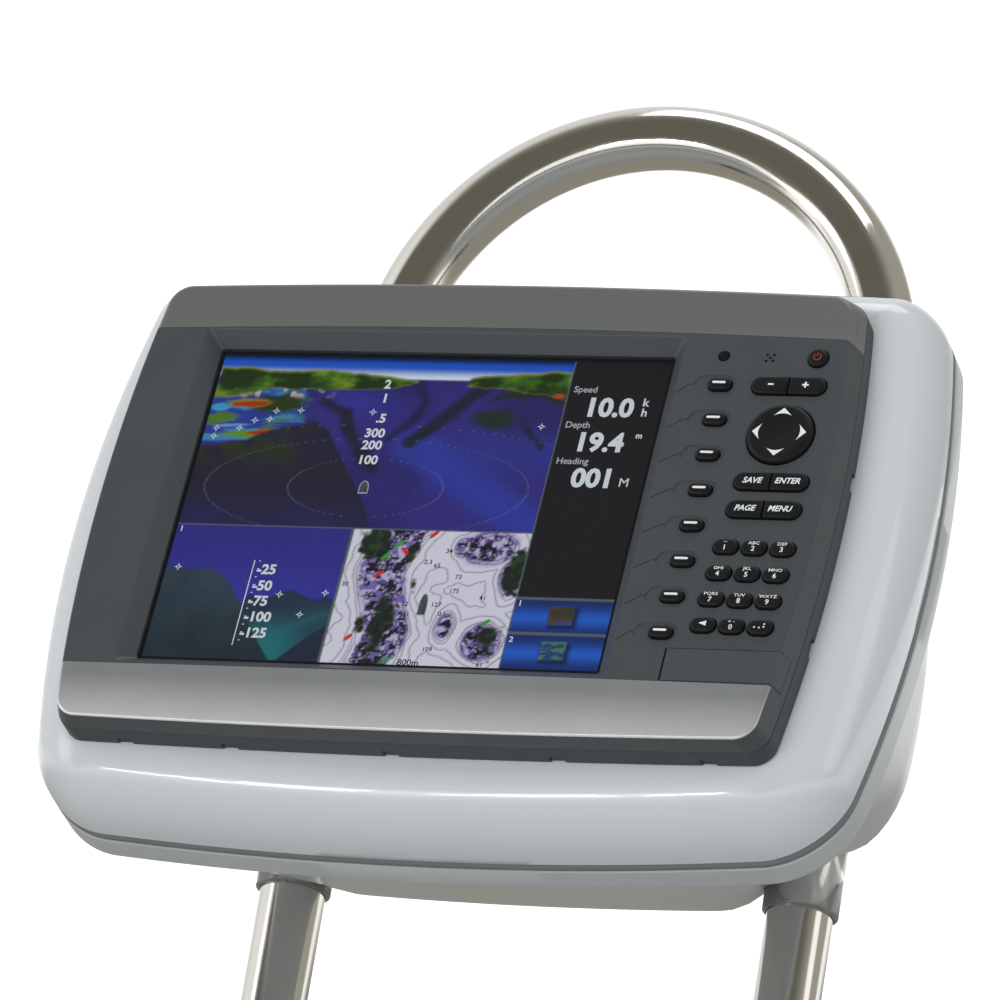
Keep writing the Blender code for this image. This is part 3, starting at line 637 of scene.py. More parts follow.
class FishFinderColours(bpy.types.PropertyGroup):
    """Colours of the finishes."""
    pod: colour_property("Pod", "Front shell of the pod", (0.60, 0.635, 0.655))
    pod_rear: colour_property("Pod rear", "Rear shell of the pod", (0.55, 0.58, 0.59))
    seal: colour_property("Seal", "Seal between the two shells", (0.17, 0.18, 0.18))
    fascia: colour_property("Fascia", "Front panel round the keys", (0.052, 0.062, 0.068))
    flange: colour_property("Flange", "Rear edge of the head", (0.036, 0.043, 0.047))
    strip_top: colour_property("Top strip", "Painted strip over the screen", (0.135, 0.14, 0.135))
    strip_low: colour_property("Lower strip", "Silver strip under the screen", (0.50, 0.53, 0.55))
    keys: colour_property("Keys", "Rubber of every key", (0.010, 0.0105, 0.012))
    legend: colour_property("Legends", "Print on the keys", (0.78, 0.79, 0.80))
    steel: colour_property("Steel", "Polished guard tube", (0.72, 0.70, 0.655))
    floor: colour_property("Floor", "Floor and backdrop", (0.92, 0.92, 0.92))


class FishFinderStage(bpy.types.PropertyGroup):
    """Camera and lights."""
    focal: bpy.props.FloatProperty(name="Focal length", description="Lens of the camera, in millimetres",
                                   default=288.0, min=35.0, max=600.0)
    key_light: bpy.props.FloatProperty(name="Key light", description="Strength of the overhead softbox",
                                       default=12.0, min=0.0, max=400.0, unit="POWER")


def sizes():
    return bpy.context.scene.fish_finder_sizes


def colours():
    return bpy.context.scene.fish_finder_colours


# ---------------------------------------------------------------- the head's front

def slab(name, profile, mat):
    """Head-shaped slab: the head's outline stacked over (z, inset) steps, flat front and back."""
    rings = [head_ring(BACK_Z, 0.7), head_ring(BACK_Z, 0.35), head_ring(BACK_Z + 0.35, 0.0)]
    rings += [head_ring(z, inset) for z, inset in profile]
    last = profile[-1]
    rings.append(head_ring(last[0], last[1] + 0.5))
    return mesh_object(name, [skin(face(rings))], [mat])


def rolled_front(radius, steps=5):
    return [(FRONT_Z + rise, inset) for inset, rise in rounding(radius, steps)]


def strip_block(sign, z0, gap, reach=60.0, top=FRONT_Z + 6.0):
    """Block over the top (sign 1) or lower (sign -1) strip; its near edge is a shallow parabola."""
    x = np.linspace(-1.0, 1.0, 61) * (HEAD_HALF_W + 12.0)
    u = x / HEAD_HALF_W
    if sign > 0:
        y = HEAD_TOP - STRIP_DEPTH - 3.2 * u * u - gap
    else:
        y = LOW_STRIP_Y - 0.6 * u * u + gap
    far = sign * (HEAD_TOP + reach)
    outline = np.column_stack([np.append(x, [x[-1], x[0]]), np.append(y, [far, far])])
    return prism(outline, z0, top)


def soft_keys():
    """(name, x, y) of the eight keys beside the screen; they follow the head's curved edge."""
    count = 8
    pitch = 18.1
    rows = []
    for i in range(count):
        y = -0.9 + pitch * (0.5 * (count - 1) - i)
        rows.append(("soft_key_%d" % (i + 1), edge_x(y) - 56.2, y))
    return rows


def pad_keys():
    """(name, x, y, legend) of the keypad; rows follow the head's curved edge."""
    names = ("1", "2", "3", "4", "5", "6", "7", "8", "9", "back", "0", "note")
    rows = []
    for i, label in enumerate(names):
        row, column = divmod(i, 3)
        y = -20.6 - 13.2 * row - 0.25 * column
        rows.append(("pad_key_" + label, edge_x(y) - 25.4 + 12.9 * (column - 1), y, label))
    return rows


def pill_keys():
    """(left key, right key, x, y, legends) of the three split keys."""
    return (("minus_key", "plus_key", 140.3, 62.2, ("minus", "plus")),
            ("save_key", "enter_key", 142.4, 12.8, ("SAVE", "ENTER")),
            ("page_key", "menu_key", 142.0, -1.4, ("PAGE", "MENU")))


def well(ring_of, z0=0.0):
    """Key hole with a slightly broken upper edge; ring_of(z, grow) gives its outline."""
    return skin(face([ring_of(z0, KEY_FIT), ring_of(FRONT_Z - 0.2, KEY_FIT),
                      ring_of(FRONT_Z + 0.02, KEY_FIT + 0.22), ring_of(FRONT_Z + 4.0, KEY_FIT + 0.22)]))


def groove_shape(points, width, depth):
    """Shallow groove along a bent line: the line moved half a width to both sides."""
    p = np.asarray(points, float)
    step = np.gradient(p, axis=0)
    step /= np.linalg.norm(step, axis=1)[:, None]
    side = np.stack([-step[:, 1], step[:, 0]], -1) * 0.5 * width
    outline = np.concatenate([p + side, (p - side)[::-1]])
    return prism(outline, FRONT_Z - depth, FRONT_Z + 3.0)


def leader(x, y):
    """Bent line from a soft key down to the edge of the screen recess."""
    edge = SCREEN_X + 0.5 * RECESS[0] + 0.6
    t = np.linspace(0.0, 1.0, 5)[:, None]
    first = np.array([x - 10.2, y + 0.1])
    knee = np.array([x - 14.0, y + 0.1])
    foot = np.array([edge, y - 4.4])
    return np.concatenate([first * (1 - t) + knee * t, knee * (1 - t[1:]) + foot * t[1:]])


def door_seat():
    """Hollow for the card door, one block from the hinge to past the head's right edge."""
    ax, az = DOOR_AXIS
    r = 0.5 * DOOR_T + 0.3
    rings = []
    for y in np.linspace(DOOR_BOTTOM - 0.3, DOOR_TOP + 0.3, 9):
        a = np.radians(np.linspace(270.0, 180.0, 9))
        back = edge_x(y) + FLANGE_GROW * 0.66
        right = edge_x(y)
        x = np.concatenate([ax + r * np.cos(a), [ax - r, right + 20.0, right + 20.0,
                                                 back - DOOR_T - 0.3, right - DOOR_T - 0.3]])
        z = np.concatenate([az + r * np.sin(a), [FRONT_Z + 2.0, FRONT_Z + 2.0, DOOR_LIP_Z - 0.3,
                                                 DOOR_LIP_Z - 0.3, FRONT_Z - DOOR_T - 0.3]])
        rings.append(np.stack([x, np.full_like(x, y), z], -1))
    return skin(face(rings))


def build_fascia():
    """Front panel: strips' seats, display recess, key wells, leaders, sensor, speaker, door seat."""
    mat = finish("fascia_plastic", moulded(tuple(colours().fascia), 0.46, 1500.0, 0.00005, 0.10))
    fascia = slab("front_panel", rolled_front(0.8), mat)
    cut(fascia, [strip_block(1, STRIP_FLOOR - 0.3, 0.18), strip_block(-1, THIN_FLOOR - 0.15, 0.18)])
    shapes = [skin(face([window_box(WINDOW[0] + 0.6, WINDOW[1] + 0.6, BACK_Z - 5.0, 1.5),
                         window_box(WINDOW[0] + 0.8, WINDOW[1] + 0.8, LENS_Z, 1.5),
                         window_box(RECESS[0] - 1.2, RECESS[1] - 1.2, FRONT_Z - 0.5, 2.6),
                         window_box(RECESS[0], RECESS[1], FRONT_Z - 0.02, 3.0),
                         window_box(RECESS[0] + 0.4, RECESS[1] + 0.4, FRONT_Z + 5.0, 3.0)]))]
    for _, x, y in soft_keys():
        shapes.append(skin(face([stadium(x - 2.4, y, 19.4, 9.4, FRONT_Z - 0.45),
                                 stadium(x - 2.4, y, 19.4, 9.4, FRONT_Z - 0.35, -0.15),
                                 stadium(x - 2.4, y, 19.4, 9.4, FRONT_Z + 3.0, -0.6)])))
    cut(fascia, shapes)
    shapes = [groove_shape(leader(x, y), sizes().groove / MM, 0.35) for _, x, y in soft_keys()]
    for _, x, y in soft_keys():
        shapes.append(well(lambda z, grow, x=x, y=y: stadium(x, y, *SOFT_SIZE, z, -grow)))
    for _, x, y, _ in pad_keys():
        shapes.append(well(lambda z, grow, x=x, y=y: stadium(x, y, *PAD_SIZE, z, -grow)))
    for _, _, x, y, _ in pill_keys():
        shapes.append(well(lambda z, grow, x=x, y=y: stadium(x, y, *PILL, z, -grow, 48)))
    shapes.append(well(lambda z, grow: circle(POWER[0], POWER[1], 0.5 * POWER[2] + grow, z)))
    shapes.append(well(lambda z, grow: circle(ROCKER[0], ROCKER[1], ROCKER[2] + 0.15 + grow, z, 96)))
    shapes.append(well(lambda z, grow: circle(SENSOR[0], SENSOR[1], SENSOR[2] - 0.05 + grow, z)))
    for i in range(5):
        a = math.radians(45.0 + 90.0 * i)
        r = 0.0 if i == 4 else 2.2
        shapes.append(prism(circle(SPEAKER[0] + r * math.cos(a), SPEAKER[1] + r * math.sin(a), 0.7, 0, 20),
                            3.0, FRONT_Z + 3.0))
    shapes.append(door_seat())
    cut(fascia, shapes)
    flatten_shading(fascia)
    place(fascia, "stand", ["fascia"])


def build_strips():
    """Painted strips let into the panel, and the top one's return round the side of the head."""
    colour = tuple(colours().strip_top)
    # the top strip's colour in a darker and a lighter copy: painted reflection, lighter lower down the strip
    top = slab("top_trim", rolled_front(1.6), finish("top_trim_paint_painted_reflection", metallic_with_painted_reflection(
        shade(colour, 1.15), shade(colour, 1.75), 0.452, 0.425, 0.42, 0.35)))
    cut(top, [strip_block(1, STRIP_FLOOR, 0.0)], "INTERSECT")
    flatten_shading(top)
    place(top, "stand", ["top_strip"])
    rings = [head_ring(z, inset) for z, inset in ((STRIP_FLOOR - 0.1, -0.06), (BACK_Z + 0.4, -0.06),
                                                  (BACK_Z + 0.1, 0.2), (STRIP_FLOOR - 0.1, 0.2))]
    skirt = mesh_object("top_trim_return", [skin(face(rings), along=True)], list(top.data.materials))
    cut(skirt, [strip_block(1, BACK_Z - 5.0, 0.0, 86.8, FRONT_Z)], "INTERSECT")
    flatten_shading(skirt)
    place(skirt, "stand")
    colour = tuple(colours().strip_low)
    edge = sizes().strip_edge / MM
    # the lower strip's colour in a dark copy and a lit copy: painted reflection, darker at the top of the
    # strip, lighter at its lower edge
    low = slab("lower_trim", [(FRONT_Z - edge - 0.1, 0.0), (FRONT_Z - edge, 0.06), (FRONT_Z - 0.06, edge),
                              (FRONT_Z, edge + 0.15)],
               finish("lower_trim_paint_painted_reflection", metallic_with_painted_reflection(shade(colour, 0.52), shade(colour, 2.05),
                                                           0.302, 0.278, 0.34, 0.55)))
    cut(low, [strip_block(-1, THIN_FLOOR, 0.0)], "INTERSECT")
    flatten_shading(low)
    place(low, "stand", ["bottom_strip"])


def build_flange():
    """Rear edge of the head: a ring between the head's outline and the case, with small notches."""
    mat = finish("flange_plastic", moulded(tuple(colours().flange), 0.5, 1300.0, 0.00005, 0.12))
    w, h = CASE[0] + 0.3, CASE[1] + 0.3
    front = BACK_Z - 0.3
    steps = ((front, 1.2), (front, 0.35), (front - 0.35, 0.0), (FLANGE_Z + 0.5, 0.0), (FLANGE_Z, 0.5),
             (FLANGE_Z, 1.5))
    rings = [head_ring(z, inset) for z, inset in steps]
    rings += [barrel(w, h, -h, 10.0, 0.0, 0.0, 0.0, z) for z in (FLANGE_Z, front)]
    flange = mesh_object("head_flange", [skin(face(rings), along=True)], [mat])
    notches = []
    for x in (-133.0, -83.5, -8.6, 67.5, 135.5):
        y = HEAD_BOTTOM + 2.2 * (x / HEAD_HALF_W) ** 2
        outline = [(x - 4.0, y - 3.0), (x + 4.0, y - 3.0), (x + 3.2, y + 1.1), (x - 3.2, y + 1.1)]
        notches.append(prism(outline, FLANGE_Z - 2.0, FLANGE_Z + 4.5))
    for side in (-1.0, 1.0):
        for y in (27.0, -57.0):
            x = side * (edge_x(y) + FLANGE_GROW)
            outline = [(x + side * 3.0, y - 5.0), (x + side * 3.0, y + 5.0), (x - side * 1.3, y + 3.8),
                       (x - side * 1.3, y - 3.8)]
            notches.append(prism(outline, FLANGE_Z - 2.0, FLANGE_Z + 4.5))
    cut(flange, notches)
    flatten_shading(flange)
    place(flange, "stand", ["mounting_flange"])


# ---------------------------------------------------------------- keys

def key_cap(ring_of, radius):
    """Rubber cap: straight skirt, rounded shoulder, then a top that domes by a tenth of a mm."""
    rings = [ring_of(KEY_FOOT_Z, 0.0)]
    rings += [ring_of(KEY_TOP_Z + rise, inset) for inset, rise in rounding(radius, 6)]
    for share in (0.35, 0.7):
        rings.append(ring_of(KEY_TOP_Z + 0.05 * share, radius + share * (1.3 - 0.2)))
    return skin(face(rings))


def legend_plate(outline, z=KEY_TOP_Z + 0.045, thick=0.05):
    """Thin printed shape just over a key's top."""
    return prism(outline, z - thick, z + 0.03)


def arrow_outline(cx, cy, turn, length, width, hollow):
    """Arrowhead whose back edge is hollow: tip, two corners and an arc between them."""
    t = np.linspace(-1.0, 1.0, 13)
    back = np.stack([t * 0.5 * width, -length + hollow * (1.0 - t * t)], -1)
    p = np.concatenate([back, [[0.0, 0.0]]])
    c, s = math.cos(turn), math.sin(turn)
    return p @ np.array([[c, s], [-s, c]]) + [cx, cy]


def ring_shape(cx, cy, outer, inner, a0, a1, z0, z1, n=40):
    """Part of a flat ring between two angles, closed all round."""
    a = np.radians(np.linspace(a0, a1, n))
    corners = []
    for r, z in ((outer, z0), (outer, z1), (inner, z1), (inner, z0)):
        corners.append(np.stack([cx + r * np.cos(a), cy + r * np.sin(a), np.full(n, z)], -1))
    return skin(face(np.stack(corners, 1)))


def text_piece(name, word, x, y, height, mat, z=KEY_TOP_Z + 0.075, slant=0.0, bold=0.0, depth=0.06,
               align="CENTER", squeeze=1.0):
    """A legend as thin solid letters, centred on a point of the face, turned into a mesh first."""
    curve = bpy.data.curves.new(name, "FONT")
    curve.body = word
    curve.size = height * 1.38 * MM
    curve.shear = slant
    curve.offset = bold * MM
    curve.extrude = 0.5 * depth * MM
    curve.align_x = align
    curve.resolution_u = 3
    curve.space_character = 1.0
    holder = bpy.data.objects.new(name, curve)
    bpy.context.scene.collection.objects.link(holder)
    bpy.context.view_layer.update()
    graph = bpy.context.evaluated_depsgraph_get()
    mesh = bpy.data.meshes.new_from_object(holder.evaluated_get(graph))
    bpy.data.objects.remove(holder, do_unlink=True)
    co = np.empty(len(mesh.vertices) * 3)
    mesh.vertices.foreach_get("co", co)
    co = co.reshape(-1, 3) / MM
    co[:, 0] *= squeeze
    low, high = co.min(0), co.max(0)
    co[:, 1] -= 0.5 * (low[1] + high[1])
    if align == "CENTER":
        co[:, 0] -= 0.5 * (low[0] + high[0])
    mesh.vertices.foreach_set("co", face(co + [x, y, z - 0.5 * depth]).ravel())
    mesh.materials.clear()
    mesh.materials.append(mat)
    bm = bmesh.new()
    bm.from_mesh(mesh)
    bmesh.ops.remove_doubles(bm, verts=bm.verts, dist=1e-7)
    bmesh.ops.recalc_face_normals(bm, faces=bm.faces)
    bm.to_mesh(mesh)
    bm.free()
    obj = bpy.data.objects.new(name, mesh)
    bpy.context.scene.collection.objects.link(obj)
    return obj


def key_rubber_mat():
    return finish("key_rubber_black", rubber(shade(tuple(colours().keys), 0.6), 0.5))


def legend_mat():
    return finish("legend_print", printed(tuple(colours().legend)))


def build_keys():
    """Every key but the four-way pad: a rubber cap and the print on it, moving together."""
    mat = key_rubber_mat()
    ink = legend_mat()
    radius = sizes().key_round / MM
    for name, x, y in soft_keys():
        shape = key_cap(lambda z, inset: stadium(x, y, *SOFT_SIZE, z, inset), radius)
        place(mesh_object("cap_" + name, [shape], [mat]), name, [name])
        bar = legend_plate(stadium(x - 0.1, y + 0.3, 6.2, 1.15, 0, 0, 12))
        place(mesh_object("mark_" + name, [bar], [ink]), name)
    for name, x, y, label in pad_keys():
        shape = key_cap(lambda z, inset: stadium(x, y, *PAD_SIZE, z, inset), radius)
        place(mesh_object("cap_" + name, [shape], [mat]), name, [name])
        for legend in pad_legend(name, x, y, label, ink):
            place(legend, name)
    for left, right, x, y, legends in pill_keys():
        for name, side, legend in ((left, -1, legends[0]), (right, 1, legends[1])):
            shape = key_cap(lambda z, inset: half_pill(x, y, *PILL, side, z, inset), radius * 0.8)
            place(mesh_object("cap_" + name, [shape], [mat]), name, [name])
            place(pill_legend(name, x + side * 0.25 * PILL[0] - side * 0.6, y, legend, ink), name)
    x, y, width = POWER
    shape = key_cap(lambda z, inset: circle(x, y, 0.5 * width - inset, z), radius)
    place(mesh_object("cap_power_key", [shape], [mat]), "power_key", ["power_key"])
    red = finish("power_mark_red", printed((0.30, 0.022, 0.018), 0.5, 0.12))
    top = KEY_TOP_Z + 0.075
    marks = [ring_shape(x, y, 1.9, 1.4, 125.0, 415.0, top - 0.1, top),
             legend_plate(rect(x - 0.26, x + 0.26, y + 0.2, y + 2.2, 0, 0.1))]
    place(mesh_object("mark_power_key", marks, [red]), "power_key")


PAD_LETTERS = {"1": "...", "2": "ABC", "3": "DEF", "4": "GHI", "5": "JKL", "6": "MNO", "7": "PQRS",
               "8": "TUV", "9": "WXYZ", "0": "+ -"}


def pad_legend(name, x, y, label, ink):
    """Digit, arrow or dots on one keypad key."""
    title = "mark_" + name
    if label == "back":
        arrow = arrow_outline(x - 1.7, y + 0.2, math.radians(90.0), 3.4, 2.6, 0.0)
        return [mesh_object(title, [legend_plate(arrow)], [ink])]
    if label == "note":
        dots = [legend_plate(circle(x + dx, y + dy, 0.42, 0, 12))
                for dx, dy in ((-2.2, -0.5), (0.0, -0.7), (2.0, -0.3), (2.0, 1.1))]
        return [mesh_object(title, dots, [ink])]
    return [text_piece(title, label, x, y - 1.0, 2.5, ink, bold=0.05),
            text_piece(title + "_letters", PAD_LETTERS[label], x, y + 1.75, 1.55, ink, bold=0.02,
                       squeeze=1.25)]


def pill_legend(name, x, y, legend, ink):
    """Minus, plus or a leaning word on half of a split key."""
    title = "mark_" + name
    if legend == "minus":
        return mesh_object(title, [legend_plate(rect(x - 1.3, x + 1.3, y - 0.42, y + 0.42, 0, 0.2))], [ink])
    if legend == "plus":
        arm = 1.5
        half = 0.42
        cross = [(half, half), (half, arm), (-half, arm), (-half, half), (-arm, half), (-arm, -half),
                 (-half, -half), (-half, -arm), (half, -arm), (half, -half), (arm, -half), (arm, half)]
        return mesh_object(title, [legend_plate(np.array([(x + a, y + b) for a, b in cross]))], [ink])
    return text_piece(title, legend, x, y, 2.9, ink, slant=0.25, bold=0.09, squeeze=0.96)


def build_rocker():
    """Round four-way pad: rounded rim, shallow dish, four hollow-backed arrowheads."""
    x, y, r = ROCKER
    rings = [circle(x, y, r, KEY_FOOT_Z + 1.0, 96)]
    rings += [circle(x, y, r - inset, KEY_TOP_Z + 0.9 + rise, 96) for inset, rise in rounding(2.4, 8)]
    for share in np.linspace(0.12, 1.0, 8):
        radius = (r - 2.4) * (1.0 - share) + 0.4 * share
        rings.append(circle(x, y, radius, KEY_TOP_Z + 0.9 - 0.6 * share * share * (3.0 - 2.0 * share), 96))
    pad = mesh_object("four_way_pad", [skin(face(rings))], [key_rubber_mat()])
    place(pad, "rocker_pad", ["rocker_pad"])
    arrows = []
    for k in range(4):
        turn = math.radians(90.0 * k)
        tip = 12.3
        outline = arrow_outline(x - tip * math.sin(turn), y + tip * math.cos(turn), turn, 3.9, 8.0, 1.1)
        arrows.append(legend_plate(outline, KEY_TOP_Z + 0.95, 0.6))
    place(mesh_object("four_way_arrows", arrows, [legend_mat()]), "rocker_pad")


def build_door():
    """Card door: knuckle on its axis, plate flush with the panel, lip wrapped round the edge."""
    ax, az = DOOR_AXIS
    r = 0.5 * DOOR_T
    rings = []
    for y in np.linspace(DOOR_BOTTOM, DOOR_TOP, 17):
        right = edge_x(y)
        back = right + FLANGE_GROW * 0.66
        a = np.radians(np.linspace(270.0, 150.0, 9))
        corner = np.radians(np.linspace(90.0, 10.0, 6))
        x = np.concatenate([ax + r * np.cos(a), [ax - 0.9, ax - 0.75],
                            right - 0.75 + 0.8 * np.cos(corner),
                            [back, back - 0.3, back - DOOR_T, right - DOOR_T]])
        z = np.concatenate([az + r * np.sin(a), [az + r - 0.15, az + r],
                            FRONT_Z - 0.8 + 0.8 * np.sin(corner),
                            [DOOR_LIP_Z + 0.3, DOOR_LIP_Z, DOOR_LIP_Z, FRONT_Z - DOOR_T]])
        rings.append(np.stack([x, np.full_like(x, y), z], -1))
    mat = finish("door_plastic", moulded(shade(tuple(colours().fascia), 1.04), 0.47, 1500.0, 0.00005, 0.10))
    door = mesh_object("memory_door", [skin(face(rings))], [mat])
    flatten_shading(door)
    place(door, "card_door", ["card_door"])


# ---------------------------------------------------------------- display

def smooth(low, high, value):
    t = np.clip((value - low) / (high - low), 0.0, 1.0)
    return t * t * (3.0 - 2.0 * t)


def field(u, v, scale, seed, octaves=4):
    """Sum of smoothly interpolated random lattices, each finer and weaker than the last."""
    total = np.zeros_like(u)
    weight = 0.0
    for k in range(octaves):
        table = np.random.default_rng(seed + k).random((64, 64))
        f = scale * 2 ** k
        x, y = u * f, v * f
        i, j = np.floor(x).astype(int), np.floor(y).astype(int)
        a, b = x - i, y - j
        a, b = a * a * (3 - 2 * a), b * b * (3 - 2 * b)
        i, j = i % 64, j % 64
        i2, j2 = (i + 1) % 64, (j + 1) % 64
        cell = (table[i, j] * (1 - a) * (1 - b) + table[i2, j] * a * (1 - b)
                + table[i, j2] * (1 - a) * b + table[i2, j2] * a * b)
        total += cell * 0.5 ** k
        weight += 0.5 ** k
    return total / weight


def over(picture, mask, colour):
    mask = np.clip(mask, 0.0, 1.0)[..., None]
    return picture * (1.0 - mask) + np.asarray(colour) * mask


def reach(u, v, path, aspect):
    """Distance to a bent line, in units of the pane's height."""
    best = np.full(u.shape, 9.0)
    for (x0, y0), (x1, y1) in zip(path, path[1:]):
        dx, dy = (x1 - x0) * aspect, y1 - y0
        px, py = (u - x0) * aspect, v - y0
        t = np.clip((px * dx + py * dy) / (dx * dx + dy * dy), 0.0, 1.0)
        best = np.minimum(best, np.hypot(px - t * dx, py - t * dy))
    return best


def spot(u, v, cu, cv, ru, rv, wobble=0.0, soft=0.35):
    """1 inside an ellipse, fading out over its rim."""
    d = np.hypot((u - cu) / ru, (v - cv) / rv) + wobble
    return 1.0 - smooth(1.0 - soft, 1.0 + soft, d)


def below(v, u, across, up, soft=0.01, wobble=0.0):
    """1 under a bent line given by its knots."""
    return smooth(-soft, soft, np.interp(u, across, up) + wobble - v)


# bent dark streaks on the sea bed: knots, width, tone
CHANNELS = (
    (((0.317, 0.74), (0.385, 0.67), (0.413, 0.56), (0.50, 0.36)), 0.05, (0.014, 0.014, 0.035)),
    (((0.577, 0.85), (0.606, 0.75), (0.587, 0.64), (0.53, 0.53)), 0.04, (0.017, 0.014, 0.075)),
    (((0.77, 0.84), (0.692, 0.70), (0.654, 0.61), (0.59, 0.51)), 0.055, (0.013, 0.016, 0.035)),
    (((0.79, 0.76), (0.84, 0.80), (0.92, 0.80), (1.0, 0.75)), 0.035, (0.014, 0.024, 0.018)),
    (((0.90, 0.62), (0.96, 0.50)), 0.03, (0.017, 0.016, 0.060)),
)
# coloured patches by the left shore: middle, half sizes, tone
SHALLOWS = (
    (0.192, 0.715, 0.078, 0.062, (0.020, 0.036, 0.008)),
    (0.05, 0.775, 0.07, 0.020, (0.16, 0.20, 0.02)),
    (0.11, 0.715, 0.056, 0.024, (0.20, 0.19, 0.02)),
    (0.115, 0.711, 0.048, 0.016, (0.33, 0.026, 0.01)),
    (0.04, 0.63, 0.055, 0.026, (0.07, 0.17, 0.015)),
    (0.02, 0.69, 0.03, 0.022, (0.04, 0.30, 0.50)),
    (0.11, 0.535, 0.062, 0.024, (0.10, 0.24, 0.015)),
    (0.159, 0.545, 0.040, 0.013, (0.33, 0.030, 0.01)),
    (0.085, 0.585, 0.05, 0.010, (0.16, 0.25, 0.50)),
)
# left end, right end, knots across, crest heights, foot heights
SHORES = (
    (0.0, 0.572, (0.0, 0.06, 0.15, 0.30, 0.42, 0.50, 0.572),
     (0.925, 0.935, 0.915, 0.925, 0.90, 0.885, 0.868), (0.775, 0.765, 0.80, 0.805, 0.808, 0.82, 0.862)),
    (0.716, 1.0, (0.716, 0.76, 0.83, 0.89, 0.96, 1.0), (0.885, 0.905, 0.912, 0.925, 0.940, 0.935),
     (0.842, 0.832, 0.826, 0.805, 0.79, 0.765)),
)


def bearing_view(u, v):
    """Looking ahead over the water: sky, green shores, coloured shallows, blue sea bed."""
    aspect = 1.86
    n1 = field(u * aspect, v, 3.0, 3)
    n2 = field(u * aspect, v, 12.0, 11)
    p = np.ones(u.shape + (3,)) * (0.030, 0.024, 0.19)
    p = over(p, smooth(0.35, 0.7, n1) * 0.7, (0.018, 0.015, 0.085))
    p = over(p, (1.0 - smooth(0.03, 0.16, reach(u, v, ((0.60, 0.50), (0.97, 0.05)), aspect))) * 0.75,
             (0.026, 0.045, 0.34))
    p = over(p, spot(u, v, 0.88, 0.45, 0.16, 0.13, soft=0.8) * 0.5, (0.026, 0.040, 0.28))
    p = over(p, spot(u, v, 0.42, 0.73, 0.10, 0.07, soft=0.8) * 0.5, (0.030, 0.036, 0.30))
    for path, width, tone in CHANNELS:
        p = over(p, 1.0 - smooth(0.2 * width, width * 1.1, reach(u, v, path, aspect) + 0.05 * (n2 - 0.5)),
                 tone)
    p = over(p, spot(u, v, 0.815, 0.655, 0.062, 0.062, 0.8 * (n2 - 0.5)), (0.014, 0.026, 0.022))
    # bright shallows along the left shore
    zone = (1.0 - smooth(0.22, 0.30, u + 0.1 * (n2 - 0.5))) * smooth(0.48, 0.50, v)
    p = over(p, zone * 0.9, (0.020, 0.045, 0.30))
    p = over(p, zone * smooth(0.50, 0.62, field(u, v * 3.0, 9.0, 71)) * 0.9, (0.05, 0.22, 0.42))
    p = over(p, zone * smooth(0.60, 0.70, field(u, v * 4.0, 11.0, 75)) * 0.9, (0.06, 0.16, 0.03))
    rough = 0.9 * (n2 - 0.5)
    for cu, cv, ru, rv, tone in SHALLOWS:
        p = over(p, spot(u, v, cu, cv + 0.10 * (u - cu), ru, rv, rough), tone)
    # the long dark slope
    slope = below(v, u, (0.0, 0.10, 0.19, 0.31, 0.356, 0.52, 0.54),
                  (0.455, 0.482, 0.571, 0.616, 0.554, 0.107, 0.0),
                  0.012, 0.03 * (n2 - 0.5))
    slope *= 1.0 - smooth(0.535, 0.55, u)
    p = over(p, slope * (0.97 - 0.30 * smooth(0.25, 0.0, v)), (0.016, 0.015, 0.028))
    p = over(p, slope * smooth(0.28, 0.50, v) * smooth(0.3, 0.6, n2) * (1.0 - smooth(0.24, 0.34, u)),
             (0.024, 0.032, 0.011))
    # speckled shoals and stones under the shores
    stones = smooth(0.72, 0.78, field(u * aspect, v, 38.0, 51, 1))
    p = over(p, stones * smooth(0.74, 0.78, v) * (1.0 - smooth(0.27, 0.36, u)), (0.42, 0.38, 0.34))
    # sky
    horizon = 0.875
    lift = smooth(horizon, 0.945, v)[..., None]
    air = np.array((0.58, 0.70, 0.80)) * (1.0 - lift) + np.array((0.012, 0.085, 0.50)) * lift
    # painted shade: the top few millimetres of the picture fade nearly to black, as under the recess's upper
    # edge
    air = air * (1.0 - 0.9 * smooth(0.955, 1.0, v)[..., None])
    p = over(p, smooth(horizon - 0.004, horizon + 0.004, v), air)
    # shores: a lit crest, dark woods, green flanks
    light = field(u * aspect, v * 1.6, 9.0, 41)
    for left, right, knots, tops, feet in SHORES:
        crest = np.interp(u, knots, tops) + 0.02 * (field(u, u * 0.0, 22.0, 5) - 0.5)
        foot = np.interp(u, knots, feet) + 0.03 * (n2 - 0.5)
        land = smooth(-0.005, 0.005, crest - v) * smooth(-0.006, 0.006, v - foot)
        land *= smooth(left - 0.006, left + 0.006, u) * (1.0 - smooth(right - 0.006, right + 0.006, u))
        tone = over(np.ones(u.shape + (3,)) * (0.012, 0.030, 0.006), smooth(0.40, 0.62, light),
                    (0.040, 0.125, 0.010))
        tone = over(tone, smooth(0.58, 0.75, light) * 0.9, (0.17, 0.22, 0.018))
        tone = over(tone, (1.0 - smooth(0.0, 0.022, crest - v)) * 0.75, (0.25, 0.27, 0.05))
        p = over(p, land, tone)
        p = over(p, (1.0 - smooth(0.0, 0.010, np.abs(v - foot))) * land * 0.6, (0.20, 0.15, 0.03))
    p = over(p, spot(u, v, 0.978, 0.795, 0.018, 0.016, rough), (0.33, 0.06, 0.012))
    # thin range circles round the boat
    for ru, rv in ((0.219, 0.170), (0.457, 0.286), (0.72, 0.366)):
        d = np.hypot((u - 0.5) / ru, (v - 0.237) / rv)
        slant = np.hypot((u - 0.5) / ru ** 2, (v - 0.237) / rv ** 2 / aspect ** 2) / np.maximum(d, 1e-6)
        line = 1.0 - smooth(0.0008, 0.0024, np.abs(d - 1.0) / np.maximum(slant, 1e-6))
        p = over(p, line * 0.22, (0.30, 0.33, 0.50))
    return p


